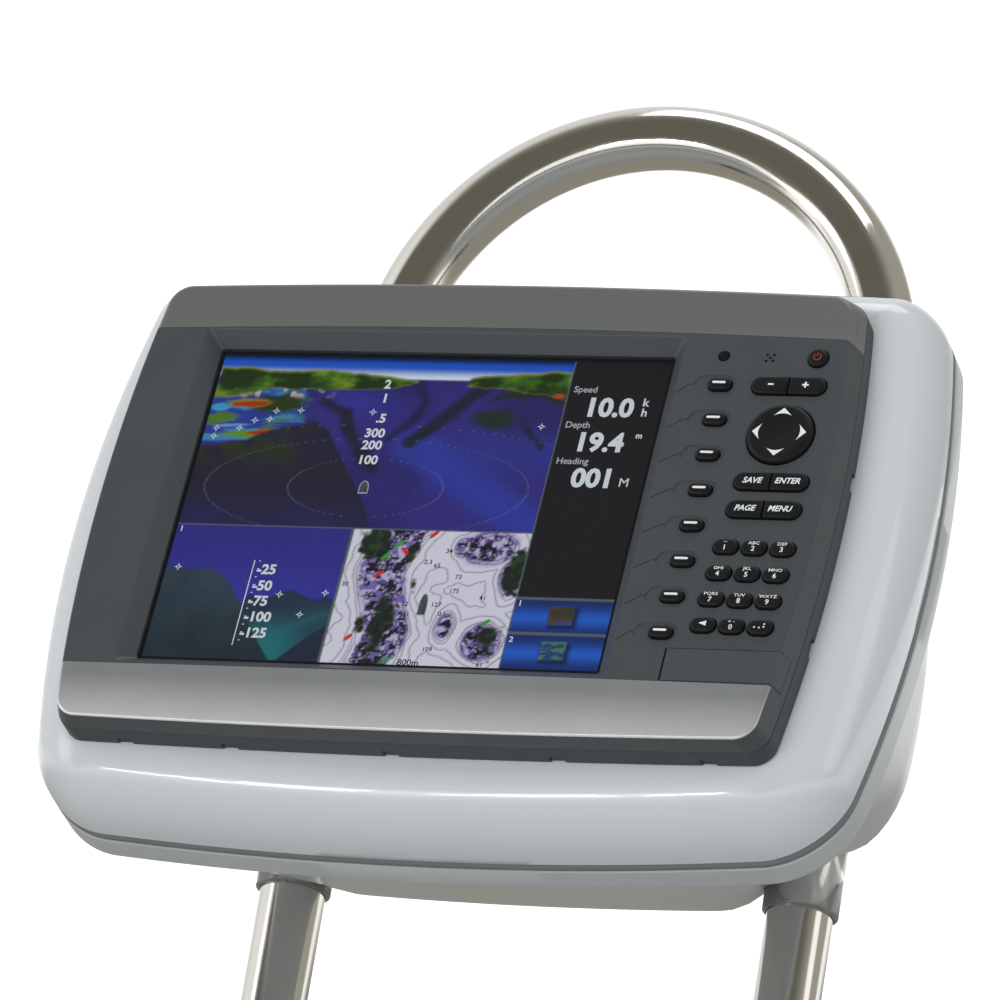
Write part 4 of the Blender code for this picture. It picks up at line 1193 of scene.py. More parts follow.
def under_water(u, v):
    """Below the boat: blue water, dark hills, teal slopes."""
    n = field(u * 1.2, v, 7.0, 91)
    rise = smooth(0.35, 0.95, v)[..., None]
    p = np.array((0.034, 0.034, 0.30)) * (1.0 - rise) + np.array((0.028, 0.025, 0.215)) * rise
    wave = 0.02 * (n - 0.5)
    far = below(v, u, (0.45, 0.52, 0.60, 0.69, 0.75, 0.82, 0.88, 0.95, 1.0),
                (0.36, 0.49, 0.455, 0.50, 0.53, 0.49, 0.455, 0.485, 0.47),
                0.006, wave)
    p = over(p, far * smooth(0.44, 0.50, u), (0.017, 0.032, 0.065))
    teal = below(v, u, (0.0, 0.55, 0.7, 1.0), (0.10, 0.26, 0.36, 0.40), 0.09, 2.0 * wave)
    p = over(p, teal * 0.85, (0.014, 0.060, 0.085))
    p = over(p, spot(u, v, 0.66, 0.08, 0.17, 0.16, wave * 8.0, 0.8) * 0.9, (0.013, 0.150, 0.170))
    p = over(p, (1.0 - smooth(0.0, 0.06, reach(u, v, ((0.62, 0.12), (0.80, 0.26), (0.97, 0.36)),
                                               1.2))) * teal * 0.4,
             (0.018, 0.13, 0.15))
    hill = below(v, u, (0.0, 0.25, 0.33, 0.40, 0.47, 0.58, 0.72),
                 (0.665, 0.665, 0.62, 0.54, 0.42, 0.22, 0.0), 0.006, wave)
    tone = (0.75 + 0.5 * n)[..., None] * np.array((0.024, 0.042, 0.058))
    p = over(p, hill, tone * (0.65 + 0.45 * smooth(0.0, 0.6, v)[..., None]))
    near = below(v, u, (0.74, 0.85, 0.92, 1.0), (-0.02, 0.12, 0.20, 0.27), 0.008, wave) * smooth(0.73, 0.75,
                                                                                                 u)
    return over(p, near, (0.014, 0.022, 0.044))


# middle, half sizes, strength
SHOALS = (
    (0.80, 0.88, 0.20, 0.17, 0.85), (0.94, 0.66, 0.09, 0.18, 0.9), (0.64, 0.88, 0.07, 0.10, 0.8),
    (0.645, 0.29, 0.065, 0.13, 0.85), (0.87, 0.18, 0.14, 0.17, 1.0),
)
# middle, half sizes
ROCKS = (
    (0.145, 0.88, 0.085, 0.12), (0.29, 0.36, 0.060, 0.26), (0.36, 0.84, 0.035, 0.10),
    (0.95, 0.70, 0.055, 0.13), (0.87, 0.20, 0.075, 0.11), (0.17, 0.30, 0.03, 0.06),
    (0.42, 0.60, 0.03, 0.06),
)
# small slanting markers: middle, tone, turn
CRAFT = (
    (0.28, 0.89, (0.03, 0.30, 0.04), 0.8),
    (0.32, 0.84, (0.52, 0.02, 0.02), -0.8),
    (0.22, 0.80, (0.03, 0.28, 0.04), 0.8),
    (0.21, 0.67, (0.52, 0.02, 0.02), 0.7),
    (0.46, 0.97, (0.52, 0.02, 0.02), 0.8),
    (0.13, 0.19, (0.50, 0.04, 0.02), 0.8),
    (0.865, 0.33, (0.04, 0.27, 0.05), 0.6),
    (0.37, 0.03, (0.04, 0.28, 0.05), 0.5),
)


def chart(u, v):
    """Harbour chart: white deep water, violet-lined shallows, dark rocks, ringed hazards."""
    n = field(u, v, 6.0, 121, 4)
    fine = field(u, v, 30.0, 141, 2)
    mid = 0.27 + 0.05 * np.sin(7.0 * v)
    bank = 1.05 * np.exp(-((u - mid) / 0.15) ** 2)
    for cu, cv, ru, rv, much in SHOALS:
        bank = np.maximum(bank, much * np.exp(-((u - cu) / ru) ** 2 - ((v - cv) / rv) ** 2))
    height = bank + 0.50 * (n - 0.5)
    p = np.ones(u.shape + (3,)) * (0.60, 0.60, 0.70)
    p = over(p, smooth(0.42, 0.60, height) * 0.6, (0.30, 0.24, 0.52))
    swell = bank + 0.55 * (field(u, v, 4.5, 181, 3) - 0.5)
    slope = np.maximum(np.hypot(*np.gradient(swell)), 1e-4)
    for level in (0.06, 0.24, 0.42, 0.52):
        p = over(p, (1.0 - smooth(0.25, 0.8, np.abs(swell - level) / slope)) * 0.6, (0.07, 0.06, 0.13))
    p = over(p, smooth(0.52, 0.60, height) * smooth(0.45, 0.58, fine) * 0.9, (0.13, 0.09, 0.32))
    p = over(p, smooth(0.60, 0.68, height) * smooth(0.56, 0.62, field(u, v, 42.0, 147, 2)),
             (0.012, 0.012, 0.02))
    dark = np.zeros_like(u)
    for cu, cv, ru, rv in ROCKS:
        dark = np.maximum(dark, spot(u, v, cu, cv, ru, rv, 2.2 * (n - 0.5) + 0.9 * (fine - 0.5), 0.2))
    p = over(p, dark, (0.013, 0.020, 0.012))
    p = over(p, dark * smooth(0.55, 0.62, fine) * 0.7, (0.020, 0.060, 0.022))
    p = over(p, ringed(u, v, smooth(0.45, 0.60, bank)), (0.010, 0.010, 0.014))
    for cu, cv, colour, turn in CRAFT:
        a = (u - cu) * math.cos(turn) + (v - cv) * 0.8 * math.sin(turn)
        b = -(u - cu) * math.sin(turn) + (v - cv) * 0.8 * math.cos(turn)
        p = over(p, 1.0 - smooth(0.7, 1.2, (a / 0.032) ** 2 + (b / 0.012) ** 2), colour)
    return p


def ringed(u, v, where):
    """Small rings with a dot, one to a cell of a jittered grid, where the mask is high."""
    jitter = np.random.default_rng(190).random((40, 40, 3))
    x, y = u * 21.0, v * 17.0
    total = np.zeros_like(u)
    for di in (-1, 0, 1):
        for dj in (-1, 0, 1):
            i, j = np.floor(x).astype(int) + di, np.floor(y).astype(int) + dj
            cell = jitter[i % 40, j % 40]
            d = np.hypot(x - i - cell[..., 0], y - j - cell[..., 1])
            mark = np.maximum(1.0 - smooth(0.05, 0.12, np.abs(d - 0.30)), 1.0 - smooth(0.06, 0.12, d))
            total = np.maximum(total, mark * (cell[..., 2] < 0.62))
    return total * where


def tile(u, v, warm):
    """Small blue button with a picture in its middle."""
    lift = np.exp(-((v - 0.45) / 0.26) ** 2)[..., None]
    p = np.array((0.008, 0.022, 0.11)) * (1 - lift) + np.array((0.016, 0.095, 0.50)) * lift
    p = over(p, smooth(0.94, 0.98, v), (0.06, 0.10, 0.17))
    box = (1.0 - smooth(0.12, 0.135, np.abs(u - 0.50))) * (1.0 - smooth(0.25, 0.28, np.abs(v - 0.52)))
    shadow = (1.0 - smooth(0.12, 0.18, np.abs(u - 0.525))) * (1.0 - smooth(0.24, 0.36, np.abs(v - 0.45)))
    p = over(p, shadow * 0.85, (0.004, 0.010, 0.035))
    n = field(u, v, 9.0, 201 + int(warm))
    if warm:
        picture = over(np.ones(u.shape + (3,)) * (0.035, 0.040, 0.022), smooth(0.45, 0.6, n),
                       (0.08, 0.045, 0.012))
        picture = over(picture, 1.0 - smooth(0.30, 0.42, v + 0.5 * (n - 0.5)), (0.05, 0.05, 0.22))
    else:
        picture = over(np.ones(u.shape + (3,)) * (0.016, 0.055, 0.16), smooth(0.50, 0.58, n),
                       (0.07, 0.16, 0.09))
    return over(p, box, picture)


DIVIDE_X = 0.788
DIVIDE_Y = 0.434
DIVIDE_LOW = 0.392
TILE_TOP = 0.225


def screen_colours(s, t):
    """The whole picture in linear light: three views, a data column and two tiles."""
    p = np.ones(s.shape + (3,)) * (0.0105, 0.0105, 0.0125)
    top = (s < DIVIDE_X) & (t >= DIVIDE_Y)
    p = np.where(top[..., None], bearing_view(s / DIVIDE_X, (t - DIVIDE_Y) / (1 - DIVIDE_Y)), p)
    low = (s < DIVIDE_LOW) & (t < DIVIDE_Y)
    p = np.where(low[..., None], under_water(s / DIVIDE_LOW, t / DIVIDE_Y), p)
    plan = (s >= DIVIDE_LOW) & (s < DIVIDE_X) & (t < DIVIDE_Y)
    p = np.where(plan[..., None], chart((s - DIVIDE_LOW) / (DIVIDE_X - DIVIDE_LOW), t / DIVIDE_Y), p)
    for k in range(2):
        t0 = 0.5 * TILE_TOP * (1 - k)
        inside = (s >= DIVIDE_X) & (t >= t0) & (t < t0 + 0.5 * TILE_TOP)
        p = np.where(inside[..., None], tile((s - DIVIDE_X) / (1 - DIVIDE_X), (t - t0) / (0.5 * TILE_TOP),
                                             k == 0), p)
    rule = (0.09, 0.11, 0.12)
    thin = 0.0022
    p = over(p, (np.abs(t - DIVIDE_Y) < thin * 1.3) & (s < DIVIDE_X), rule)
    p = over(p, (np.abs(s - DIVIDE_X) < thin), rule)
    p = over(p, (np.abs(s - DIVIDE_LOW) < thin) & (t < DIVIDE_Y), rule)
    edges = (np.abs(t - TILE_TOP) < thin * 1.3) | (np.abs(t - 0.5 * TILE_TOP) < thin * 2.0)
    p = over(p, edges & (s > DIVIDE_X), rule)
    return p


def on_screen(s, t):
    """Face-frame place of a point of the picture, s across and t up, both 0 to 1."""
    return SCREEN_X + (s - 0.5) * PICTURE[0], (t - 0.5) * PICTURE[1]


def build_screen():
    """Lit picture just under the window, its dark panel, and the window itself."""
    glass_top = LENS_Z
    panel_top = LENS_Z - LENS_T - 0.3
    cols, rows = 336, 252
    s, t = np.meshgrid(np.linspace(0.0, 1.0, cols), np.linspace(0.0, 1.0, rows))
    x, y = on_screen(s, t)
    top = face(np.stack([x, y, np.full_like(x, panel_top + 0.22)], -1))
    verts, faces = skin(top, around=False)
    rim = np.concatenate([np.arange(cols), np.arange(2, rows) * cols - 1,
                          np.arange(rows * cols - 1, (rows - 1) * cols - 1, -1),
                          np.arange((rows - 2) * cols, 0, -cols)])
    below = verts[rim] - np.array(FACE_OUT) * 0.2 * MM
    count = len(verts)
    verts = np.concatenate([verts, below])
    ring = np.arange(len(rim))
    nxt = np.roll(ring, -1)
    faces += np.stack([rim[nxt], rim, count + ring, count + nxt], -1).tolist()
    faces.append((count + ring)[::-1].tolist())
    mesh = bpy.data.meshes.new("screen_picture")
    mesh.from_pydata(verts.tolist(), [], faces)
    tone = np.zeros((len(verts), 4), np.float32)
    tone[:, 3] = 1.0
    tone[:count, :3] = np.clip(screen_colours(s, t), 0.0, 1.0).reshape(-1, 3)
    layer = mesh.color_attributes.new("picture", "FLOAT_COLOR", "POINT")
    layer.data.foreach_set("color", tone.ravel())
    mesh.materials.append(finish("screen_glow", lit_screen()))
    picture = bpy.data.objects.new("screen_picture", mesh)
    bpy.context.scene.collection.objects.link(picture)
    place(picture, "stand", ())
    dark = finish("panel_dark", moulded((0.006, 0.006, 0.008), 0.3, 900.0, 0.00002, 0.2))
    frame["nodes"]["lcd_panel"].data.materials.clear()
    frame["nodes"]["lcd_panel"].data.materials.append(dark)
    rings = [window_box(WINDOW[0], WINDOW[1], LENS_Z - LENS_T, 1.2),
             window_box(WINDOW[0], WINDOW[1], glass_top - 0.2, 1.2),
             window_box(WINDOW[0] - 0.4, WINDOW[1] - 0.4, glass_top, 1.1)]
    lens = mesh_object("screen_window", [skin(face(rings))], [finish("window_coating", window_glass())])
    place(lens, "stand", ["window_lens"])


def screen_text(name, word, s, t, height, mat, **more):
    """Word on the display at a point of the picture."""
    x, y = on_screen(s, t)
    z = LENS_Z - LENS_T - 0.3 + 0.28
    return text_piece(name, word, x, y, height, mat, z=z, depth=0.05, **more)


# word, place on the picture, height, boldness
DATA_WORDS = (
    ("10.0", 0.891, 0.850, 9.6, 0.50), ("19.4", 0.888, 0.735, 9.6, 0.50),
    ("001", 0.883, 0.618, 9.6, 0.50), ("k", 0.965, 0.869, 4.2, 0.12), ("h", 0.965, 0.836, 4.2, 0.12),
    ("m", 0.966, 0.757, 2.9, 0.12), ("M", 0.958, 0.606, 4.6, 0.0),
)
# places of the ringed crosses
CROSSES = (
    (0.025, 0.754), (0.024, 0.727), (0.077, 0.756), (0.107, 0.782), (0.140, 0.787), (0.205, 0.818),
    (0.150, 0.815), (0.367, 0.818), (0.748, 0.782), (0.026, 0.293), (0.268, 0.213), (0.368, 0.222),
    (0.324, 0.150),
)


def build_readouts():
    """Numbers, scale marks and pointers on the display, as thin lit solids."""
    pale = finish("readout_white", printed((0.36, 0.39, 0.41), 0.5, 0.75))
    grey = finish("readout_grey", printed((0.22, 0.24, 0.25), 0.5, 0.75))
    black = finish("readout_black", printed((0.012, 0.012, 0.016), 0.5, 0.0))
    letters = []
    for word, s, t in (("2", 0.384, 0.912), ("1", 0.386, 0.865), (".5", 0.389, 0.798), ("300", 0.384, 0.749),
                       ("200", 0.384, 0.709), ("100", 0.386, 0.660)):
        letters.append(screen_text("range_" + word, word, s, t, 4.6, pale, bold=0.20))
    for word, t in (("25", 0.293), ("50", 0.240), ("75", 0.190), ("100", 0.139), ("125", 0.087)):
        letters.append(screen_text("scale_" + word, "-" + word, 0.203, t, 5.0, pale, bold=0.22,
                                   align="LEFT"))
    for word, s, t in (("Speed", 0.799, 0.905), ("Depth", 0.799, 0.788), ("Heading", 0.799, 0.669)):
        letters.append(screen_text("label_" + word, word, s, t, 3.3, grey, bold=0.06, align="LEFT"))
    for word, s, t, h, bold in DATA_WORDS:
        letters.append(screen_text("data_" + word, word, s, t, h, pale, bold=bold))
    for word, s, t in (("1", 0.799, 0.209), ("2", 0.799, 0.093), ("1", 0.010, 0.419), ("2", 0.404, 0.413)):
        letters.append(screen_text("pane_%s_%d" % (word, int(s * 1000)), word, s, t, 2.8, pale, bold=0.08))
    z = LENS_Z - LENS_T - 0.3 + 0.24
    shapes = []

    def bar(s0, t0, s1, t1, width):
        p = np.array([on_screen(s0, t0), on_screen(s1, t1)])
        way = p[1] - p[0]
        side = np.array([-way[1], way[0]]) / np.linalg.norm(way) * 0.5 * width
        shapes.append(prism(np.concatenate([p + side, (p - side)[::-1]]), z, z + 0.04))

    bar(0.193, 0.045, 0.193, 0.322, 0.5)
    for k in range(11):
        t = 0.319 - 0.0257 * k
        bar(0.203, t, 0.207 if k % 2 == 0 else 0.2085, t, 0.45)
    for s, t in CROSSES:
        x, y = on_screen(s, t)
        shapes.append(ring_shape(x, y, 0.95, 0.55, 0.0, 357.0, z, z + 0.04, 16))
        for a, b in ((1, 0), (-1, 0), (0, 1), (0, -1)):
            tick = 0.9
            q = np.array([[x + a * tick, y + b * tick], [x + a * (tick + 0.9), y + b * (tick + 0.9)]])
            side = np.array([-b, a]) * 0.16
            shapes.append(prism(np.concatenate([q + side, (q - side)[::-1]]), z, z + 0.04))
    letters.append(mesh_object("screen_marks", shapes, [pale], angle=None))
    rng = np.random.default_rng(17)
    chart_words = ("34", "73", "175", "127", "51", "64", "12", "41", "18", "65", "109", "22", "30", "0.1",
                   "61", "2.3")
    spots = [(0.56, 0.85), (0.66, 0.66), (0.65, 0.555), (0.575, 0.45), (0.42, 0.375), (0.42, 0.235),
             (0.40, 0.45),
             (0.81, 0.51), (0.66, 0.94), (0.53, 0.74), (0.59, 0.12), (0.69, 0.875), (0.045, 0.585),
             (0.60, 0.385),
             (0.88, 0.02), (0.475, 0.765)]
    for k, (word, (a, b)) in enumerate(zip(chart_words, spots)):
        s = DIVIDE_LOW + a * (DIVIDE_X - DIVIDE_LOW) + rng.uniform(-0.004, 0.004)
        letters.append(screen_text("sounding_%d" % k, word, s, b * DIVIDE_Y, 2.3, black, bold=0.04))
    letters.append(screen_text("chart_scale", "800m", 0.588, 0.008, 3.2, black, bold=0.06))
    boat = mesh_object("boat_marks", [boat_shape(0.589, 0.195, 3.4, 10.4, z),
                                      boat_shape(0.391, 0.570, 3.6, 5.6, z)],
                       [finish("boat_mark", printed((0.035, 0.05, 0.055), 0.5, 0.2))], angle=None)
    letters.append(boat)
    rims = mesh_object("boat_rims", [boat_shape(0.589, 0.195, 4.2, 11.4, z - 0.03),
                                     boat_shape(0.391, 0.570, 4.6, 6.8, z - 0.03)],
                       [finish("boat_rim", printed((0.25, 0.30, 0.32), 0.5, 0.4))], angle=None)
    letters.append(rims)
    for obj in letters:
        place(obj, "stand")


def boat_shape(s, t, width, length, z):
    """Boat seen from above: square stern, sides that curve to a point."""
    x, y = on_screen(s, t)
    k = np.linspace(0.0, 1.0, 12)
    half = 0.5 * width * np.sqrt(np.clip(1.0 - k ** 2.2, 0.0, 1.0))
    up = -0.5 * length + length * (0.35 + 0.65 * k)
    right = np.stack([half, up], -1)
    left = np.stack([-half, up], -1)[::-1]
    outline = np.concatenate([[[0.5 * width, -0.5 * length]], right, left[1:],
                              [[-0.5 * width, -0.5 * length]]])
    return prism(outline + [x, y], z, z + 0.04)


# ---------------------------------------------------------------- pod

def build_pod_front():
    """Front shell: straight skirt, then a quarter-ellipse roll in to a flat face with the head's hole."""
    roll = sizes().pod_roll / MM
    rise = POD_FACE_Z - SPLIT_Z - 5.0
    rings = [pod_ring(SPLIT_Z + 0.3, 1.0), pod_ring(SPLIT_Z + 0.3, 0.5), pod_ring(SPLIT_Z + 0.9, 0.0),
             pod_ring(SPLIT_Z + 5.0, 0.0)]
    for a in np.radians(np.linspace(0.0, 90.0, 25)[1:]):
        rings.append(pod_ring(SPLIT_Z + 5.0 + rise * math.sin(a), roll * (1.0 - math.cos(a))))
    rings.append(pod_ring(POD_FACE_Z, roll + 1.0))
    w, h = CASE[0] + 0.3, CASE[1] + 0.3
    rings.append(barrel(w, h, -h, 10.0, 0.0, 0.0, 0.0, POD_FACE_Z, arc=14, side=40))
    rings.append(barrel(w, h, -h, 10.0, 0.0, 0.0, 0.0, POD_FACE_Z - POD_WALL, arc=14, side=40))
    for a in np.radians(np.linspace(75.0, 0.0, 8)):
        rings.append(pod_ring(SPLIT_Z + 5.0 + (rise - POD_WALL) * math.sin(a),
                              POD_WALL + (roll - 1.0) * (1.0 - math.cos(a))))
    rings.append(pod_ring(SPLIT_Z + 0.3, POD_WALL))
    mat = finish("pod_gloss", pod_plastic(tuple(colours().pod), 0.2, 0.6))
    pod = mesh_object("pod_front", [skin(face(rings), along=True)], [mat], angle=40.0)
    place(pod, "stand", ["pod_front_shell"])


def build_seal():
    """Rubber seal: an outer face that bellies out a little between the shells."""
    z1 = SPLIT_Z - GASKET_T
    rings = []
    for share in np.linspace(0.0, 1.0, 9):
        bow = 0.9 * (2.0 * share - 1.0) ** 2
        rings.append(pod_ring(z1 + GASKET_T * share, bow - 0.1))
    rings += [pod_ring(SPLIT_Z, POD_WALL + 1.5), pod_ring(z1, POD_WALL + 1.5)]
    mat = finish("seal_rubber", moulded(tuple(colours().seal), 0.6, 1200.0, 0.00004, 0.12))
    place(mesh_object("pod_seal", [skin(face(rings), along=True)], [mat]), "stand", ["pod_gasket"])


def guard_z(y):
    """Depth of the guard's leaning plane in the face frame."""
    return guard_point(0.0)[1] + math.tan(TILT) * (y - guard_point(0.0)[0])


def guard_point(v):
    """(y, z) in the face frame of a point v along the guard's straight part, up from the arch's middle."""
    at = (np.array(ARCH) * MM - ORIGIN) @ TURN.T / MM
    return at[1] + v * math.cos(TILT), at[2] + v * math.sin(TILT)


def rear_ring(f, inset=0.0, lift=0.0):
    """Section of the rear shell from its lip (f 0) to its leaning rear wall (f 1)."""
    front = SPLIT_Z - GASKET_T - LIP_DEPTH - 2.0

    def depth(y):
        rear = guard_z(y) - REAR_GAP / math.cos(TILT)
        return front + (rear - front) * f + lift / math.cos(TILT)

    ring = pod_ring(depth, inset, POD_HALF_W - 7.0 - 36.0 * f, POD_TOP - 7.0 - 14.0 * f,
                    POD_BOTTOM + 6.0 + 66.0 * f, (30.0, 40.0 + 26.0 * smooth(0.0, 0.6, f)),
                    10.0 - 6.0 * f)
    x, y = ring[:, 0].copy(), ring[:, 1].copy()
    saddle = np.exp(-((np.abs(x) - LEG_HALF) / SADDLE_HALF_W) ** 4) * smooth(POD_WIDEST, -70.0, y)
    ring[:, 1] += SADDLE_RISE * smooth(0.05, 0.6, f) * saddle
    hollow = smooth(-95.0, -75.0, y) * smooth(18.0, -2.0, y) * smooth(0.04, 0.12, f) * smooth(0.62, 0.45, f)
    ring[:, 0] = x - np.sign(x) * HOLLOW_DEPTH * hollow * smooth(120.0, 150.0, np.abs(x))
    return ring


def leg_ring(side, v, r, n=48):
    """Circle square to a leg, v up from the arch's middle, in the face frame."""
    y, z = guard_point(v)
    a = 2.0 * np.pi * np.arange(n) / n
    u = r * np.sin(a)
    return np.stack([side * LEG_HALF + r * np.cos(a), y - u * math.sin(TILT), z + u * math.cos(TILT)], -1)


def build_pod_rear():
    """Rear shell: a lip under the seal, a step in, then a deep tapering back."""
    z0 = SPLIT_Z - GASKET_T - 0.3
    rings = [pod_ring(z0, 1.0), pod_ring(z0, 0.5), pod_ring(z0 - 0.6, 0.0)]
    rings += [pod_ring(z0 - LIP_DEPTH + 3.0, 0.0)]
    rings += [pod_ring(z0 - LIP_DEPTH + 3.0 - 2.2 * math.sin(a), 2.2 * (1.0 - math.cos(a)))
              for a in np.radians(np.linspace(0.0, 90.0, 6)[1:])]
    rings += [rear_ring(0.0, -1.2), rear_ring(0.015, -0.3), rear_ring(0.05)]
    rings += [rear_ring(f) for f in (0.2, 0.4, 0.6, 0.74)]
    for a in np.linspace(0.0, 90.0, 13)[1:]:
        share = math.sin(math.radians(a))
        rings.append(rear_ring(0.74 + 0.26 * share, 24.0 * (1.0 - math.cos(math.radians(a)))))
    rings.append(rear_ring(1.0, 27.0))
    t = POD_WALL
    rings += [rear_ring(1.0, 27.0, t), rear_ring(0.93, t + 12.0), rear_ring(0.84, t + 5.0),
              rear_ring(0.7, t),
              rear_ring(0.4, t), rear_ring(0.0, t), pod_ring(z0 - LIP_DEPTH + 3.0, t + 3.0), pod_ring(z0, t)]
    outer = len(rings) - 9
    front_rows = rings[:outer + 1]
    back_rows = rings[outer + 1:]
    rows = face(front_rows + back_rows)
    # painted shade: the rear shell's colour is darkened to 0.8 of its own, for an underside that faces away
    # from the light
    mat = finish("pod_rear_gloss_shaded", pod_plastic(shade(tuple(colours().pod_rear), 0.8), 0.3, 0.35))
    shell = rear_solid("pod_back", rows, len(front_rows), mat)
    tools = []
    for side in (-1, 1):
        for v0, v1, r in ((-310.0, -190.0, COLLAR_R - COLLAR_SLIM + 0.3), (-75.0, 20.0, COLLAR_R + 0.3)):
            tools.append(skin(face([leg_ring(side, v0, r), leg_ring(side, v1, r)])))
    cut(shell, tools, angle=40.0)
    place(shell, "stand", ["pod_rear_shell"])


def rear_solid(name, rows, turn, mat):
    """Outer rows down to a closed outer cap, inner rows back up from a closed inner cap."""
    outer = skin(rows[:turn], start=False)
    inner = skin(rows[turn:], end=False)
    cols = rows.shape[1]
    verts = np.concatenate([outer[0], inner[0]])
    shift = len(outer[0])
    faces = outer[1] + [[i + shift for i in poly] for poly in inner[1]]
    first = np.arange(cols)
    nxt = (first + 1) % cols
    last = shift + len(inner[0]) - cols + first
    faces += np.stack([first, nxt, last[nxt], last], -1).tolist()
    return mesh_object(name, [(verts, faces)], [mat], angle=40.0)


# ---------------------------------------------------------------- guard

def guard_line():
    """Middle line of the guard in world millimetres, and its direction at each point: upright, bend,
    leaning leg, half-circle arch, and down the other side the same way."""
    lean = GUARD_LEAN
    pts = []
    ways = []
    upright = np.linspace(0.0, LEG_UPRIGHT, 8)
    for u in upright:
        pts.append((0.0, FOOT_BASE + u))
        ways.append(0.0)
    for a in np.linspace(0.0, lean, 10)[1:]:
        pts.append((BEND_R * (1.0 - math.cos(a)), FOOT_BASE + LEG_UPRIGHT + BEND_R * math.sin(a)))
        ways.append(a)
    y0, z0 = pts[-1]
    for u in np.linspace(0.0, LEG_STRAIGHT, 40)[1:]:
        pts.append((y0 + u * math.sin(lean), z0 + u * math.cos(lean)))
        ways.append(lean)
    leg = np.array([(-LEG_HALF, y, z) for y, z in pts])
    way = np.array([(0.0, math.sin(a), math.cos(a)) for a in ways])
    up = np.array([0.0, math.sin(lean), math.cos(lean)])
    a = np.linspace(0.0, math.pi, 97)[1:-1][:, None]
    arch = np.array(ARCH) + np.array([-LEG_HALF, 0.0, 0.0]) * np.cos(a) + up * LEG_HALF * np.sin(a)
    arch_way = np.array([1.0, 0.0, 0.0]) * np.sin(a) + up * np.cos(a)
    other = leg[::-1] * [-1.0, 1.0, 1.0]
    return np.concatenate([leg, arch, other]), np.concatenate([way, arch_way, -way[::-1]])


def build_guard():
    """Tube swept along the guard's line: circles square to it, outer skin and inner skin."""
    line, way = guard_line()
    lean = GUARD_LEAN
    out = np.tile([0.0, -math.cos(lean), math.sin(lean)], (len(line), 1))
    flat = np.abs(way[:, 0]) < 1e-9
    out[flat] = np.stack([np.zeros(flat.sum()), -np.abs(way[flat, 2]), np.abs(way[flat, 1])], -1)
    across = np.cross(way, out)
    a = (2.0 * np.pi * np.arange(TUBE_SIDES) / TUBE_SIDES)[None, :, None]
    spoke = out[:, None] * np.cos(a) + across[:, None] * np.sin(a)
    outer = line[:, None] + TUBE_R * spoke
    inner = (line[:, None] + (TUBE_R - TUBE_WALL) * spoke)[::-1]
    rings = np.concatenate([outer, inner])
    mat = finish("tube_polish", polished_steel(tuple(colours().steel), 0.11, (1.0, 0.25, 0.12)))
    tube = mesh_object("guard_tube", [skin(world(rings), along=True)], [mat], angle=40.0)
    place(tube, "stand", ["guard_hoop"])


def build_collars():
    """Clear collars where the tube enters the pod: rings with rounded lips."""
    mat = finish("collar_clear", clear_plastic())
    inner = TUBE_R + TUBE_FIT
    for side, hand in ((-1, "left"), (1, "right")):
        for where, v0, v1 in (("lower", -256.0, -205.0), ("upper", -72.0, -29.0)):
            big = COLLAR_R - (COLLAR_SLIM if where == "lower" else 0.0)
            steps = [(v0, inner + 0.6), (v0, big - 1.6)]
            steps += [(v0 + 1.2 * (1.0 - math.cos(a)), big - 1.2 * (1.0 - math.sin(a)))
                      for a in np.radians(np.linspace(0.0, 90.0, 6))]
            steps += [(v1 - 0.8, big), (v1, big - 0.8), (v1, inner + 0.6), (v1 - 0.6, inner),
                      (v0 + 0.6, inner)]
            rings = [leg_ring(side, v, r) for v, r in steps]
            name = "%s_collar_%s" % (where, hand)
            ring = mesh_object("clear_" + name, [skin(face(rings), along=True)], [mat], angle=50.0)
            place(ring, "stand", [name])


def turned(cx, cy, profile, n=96):
    """Round body about an upright axis through (cx, cy); profile is (radius, height) pairs."""
    return skin(world([circle(cx, cy, r, z, n) for r, z in profile]))


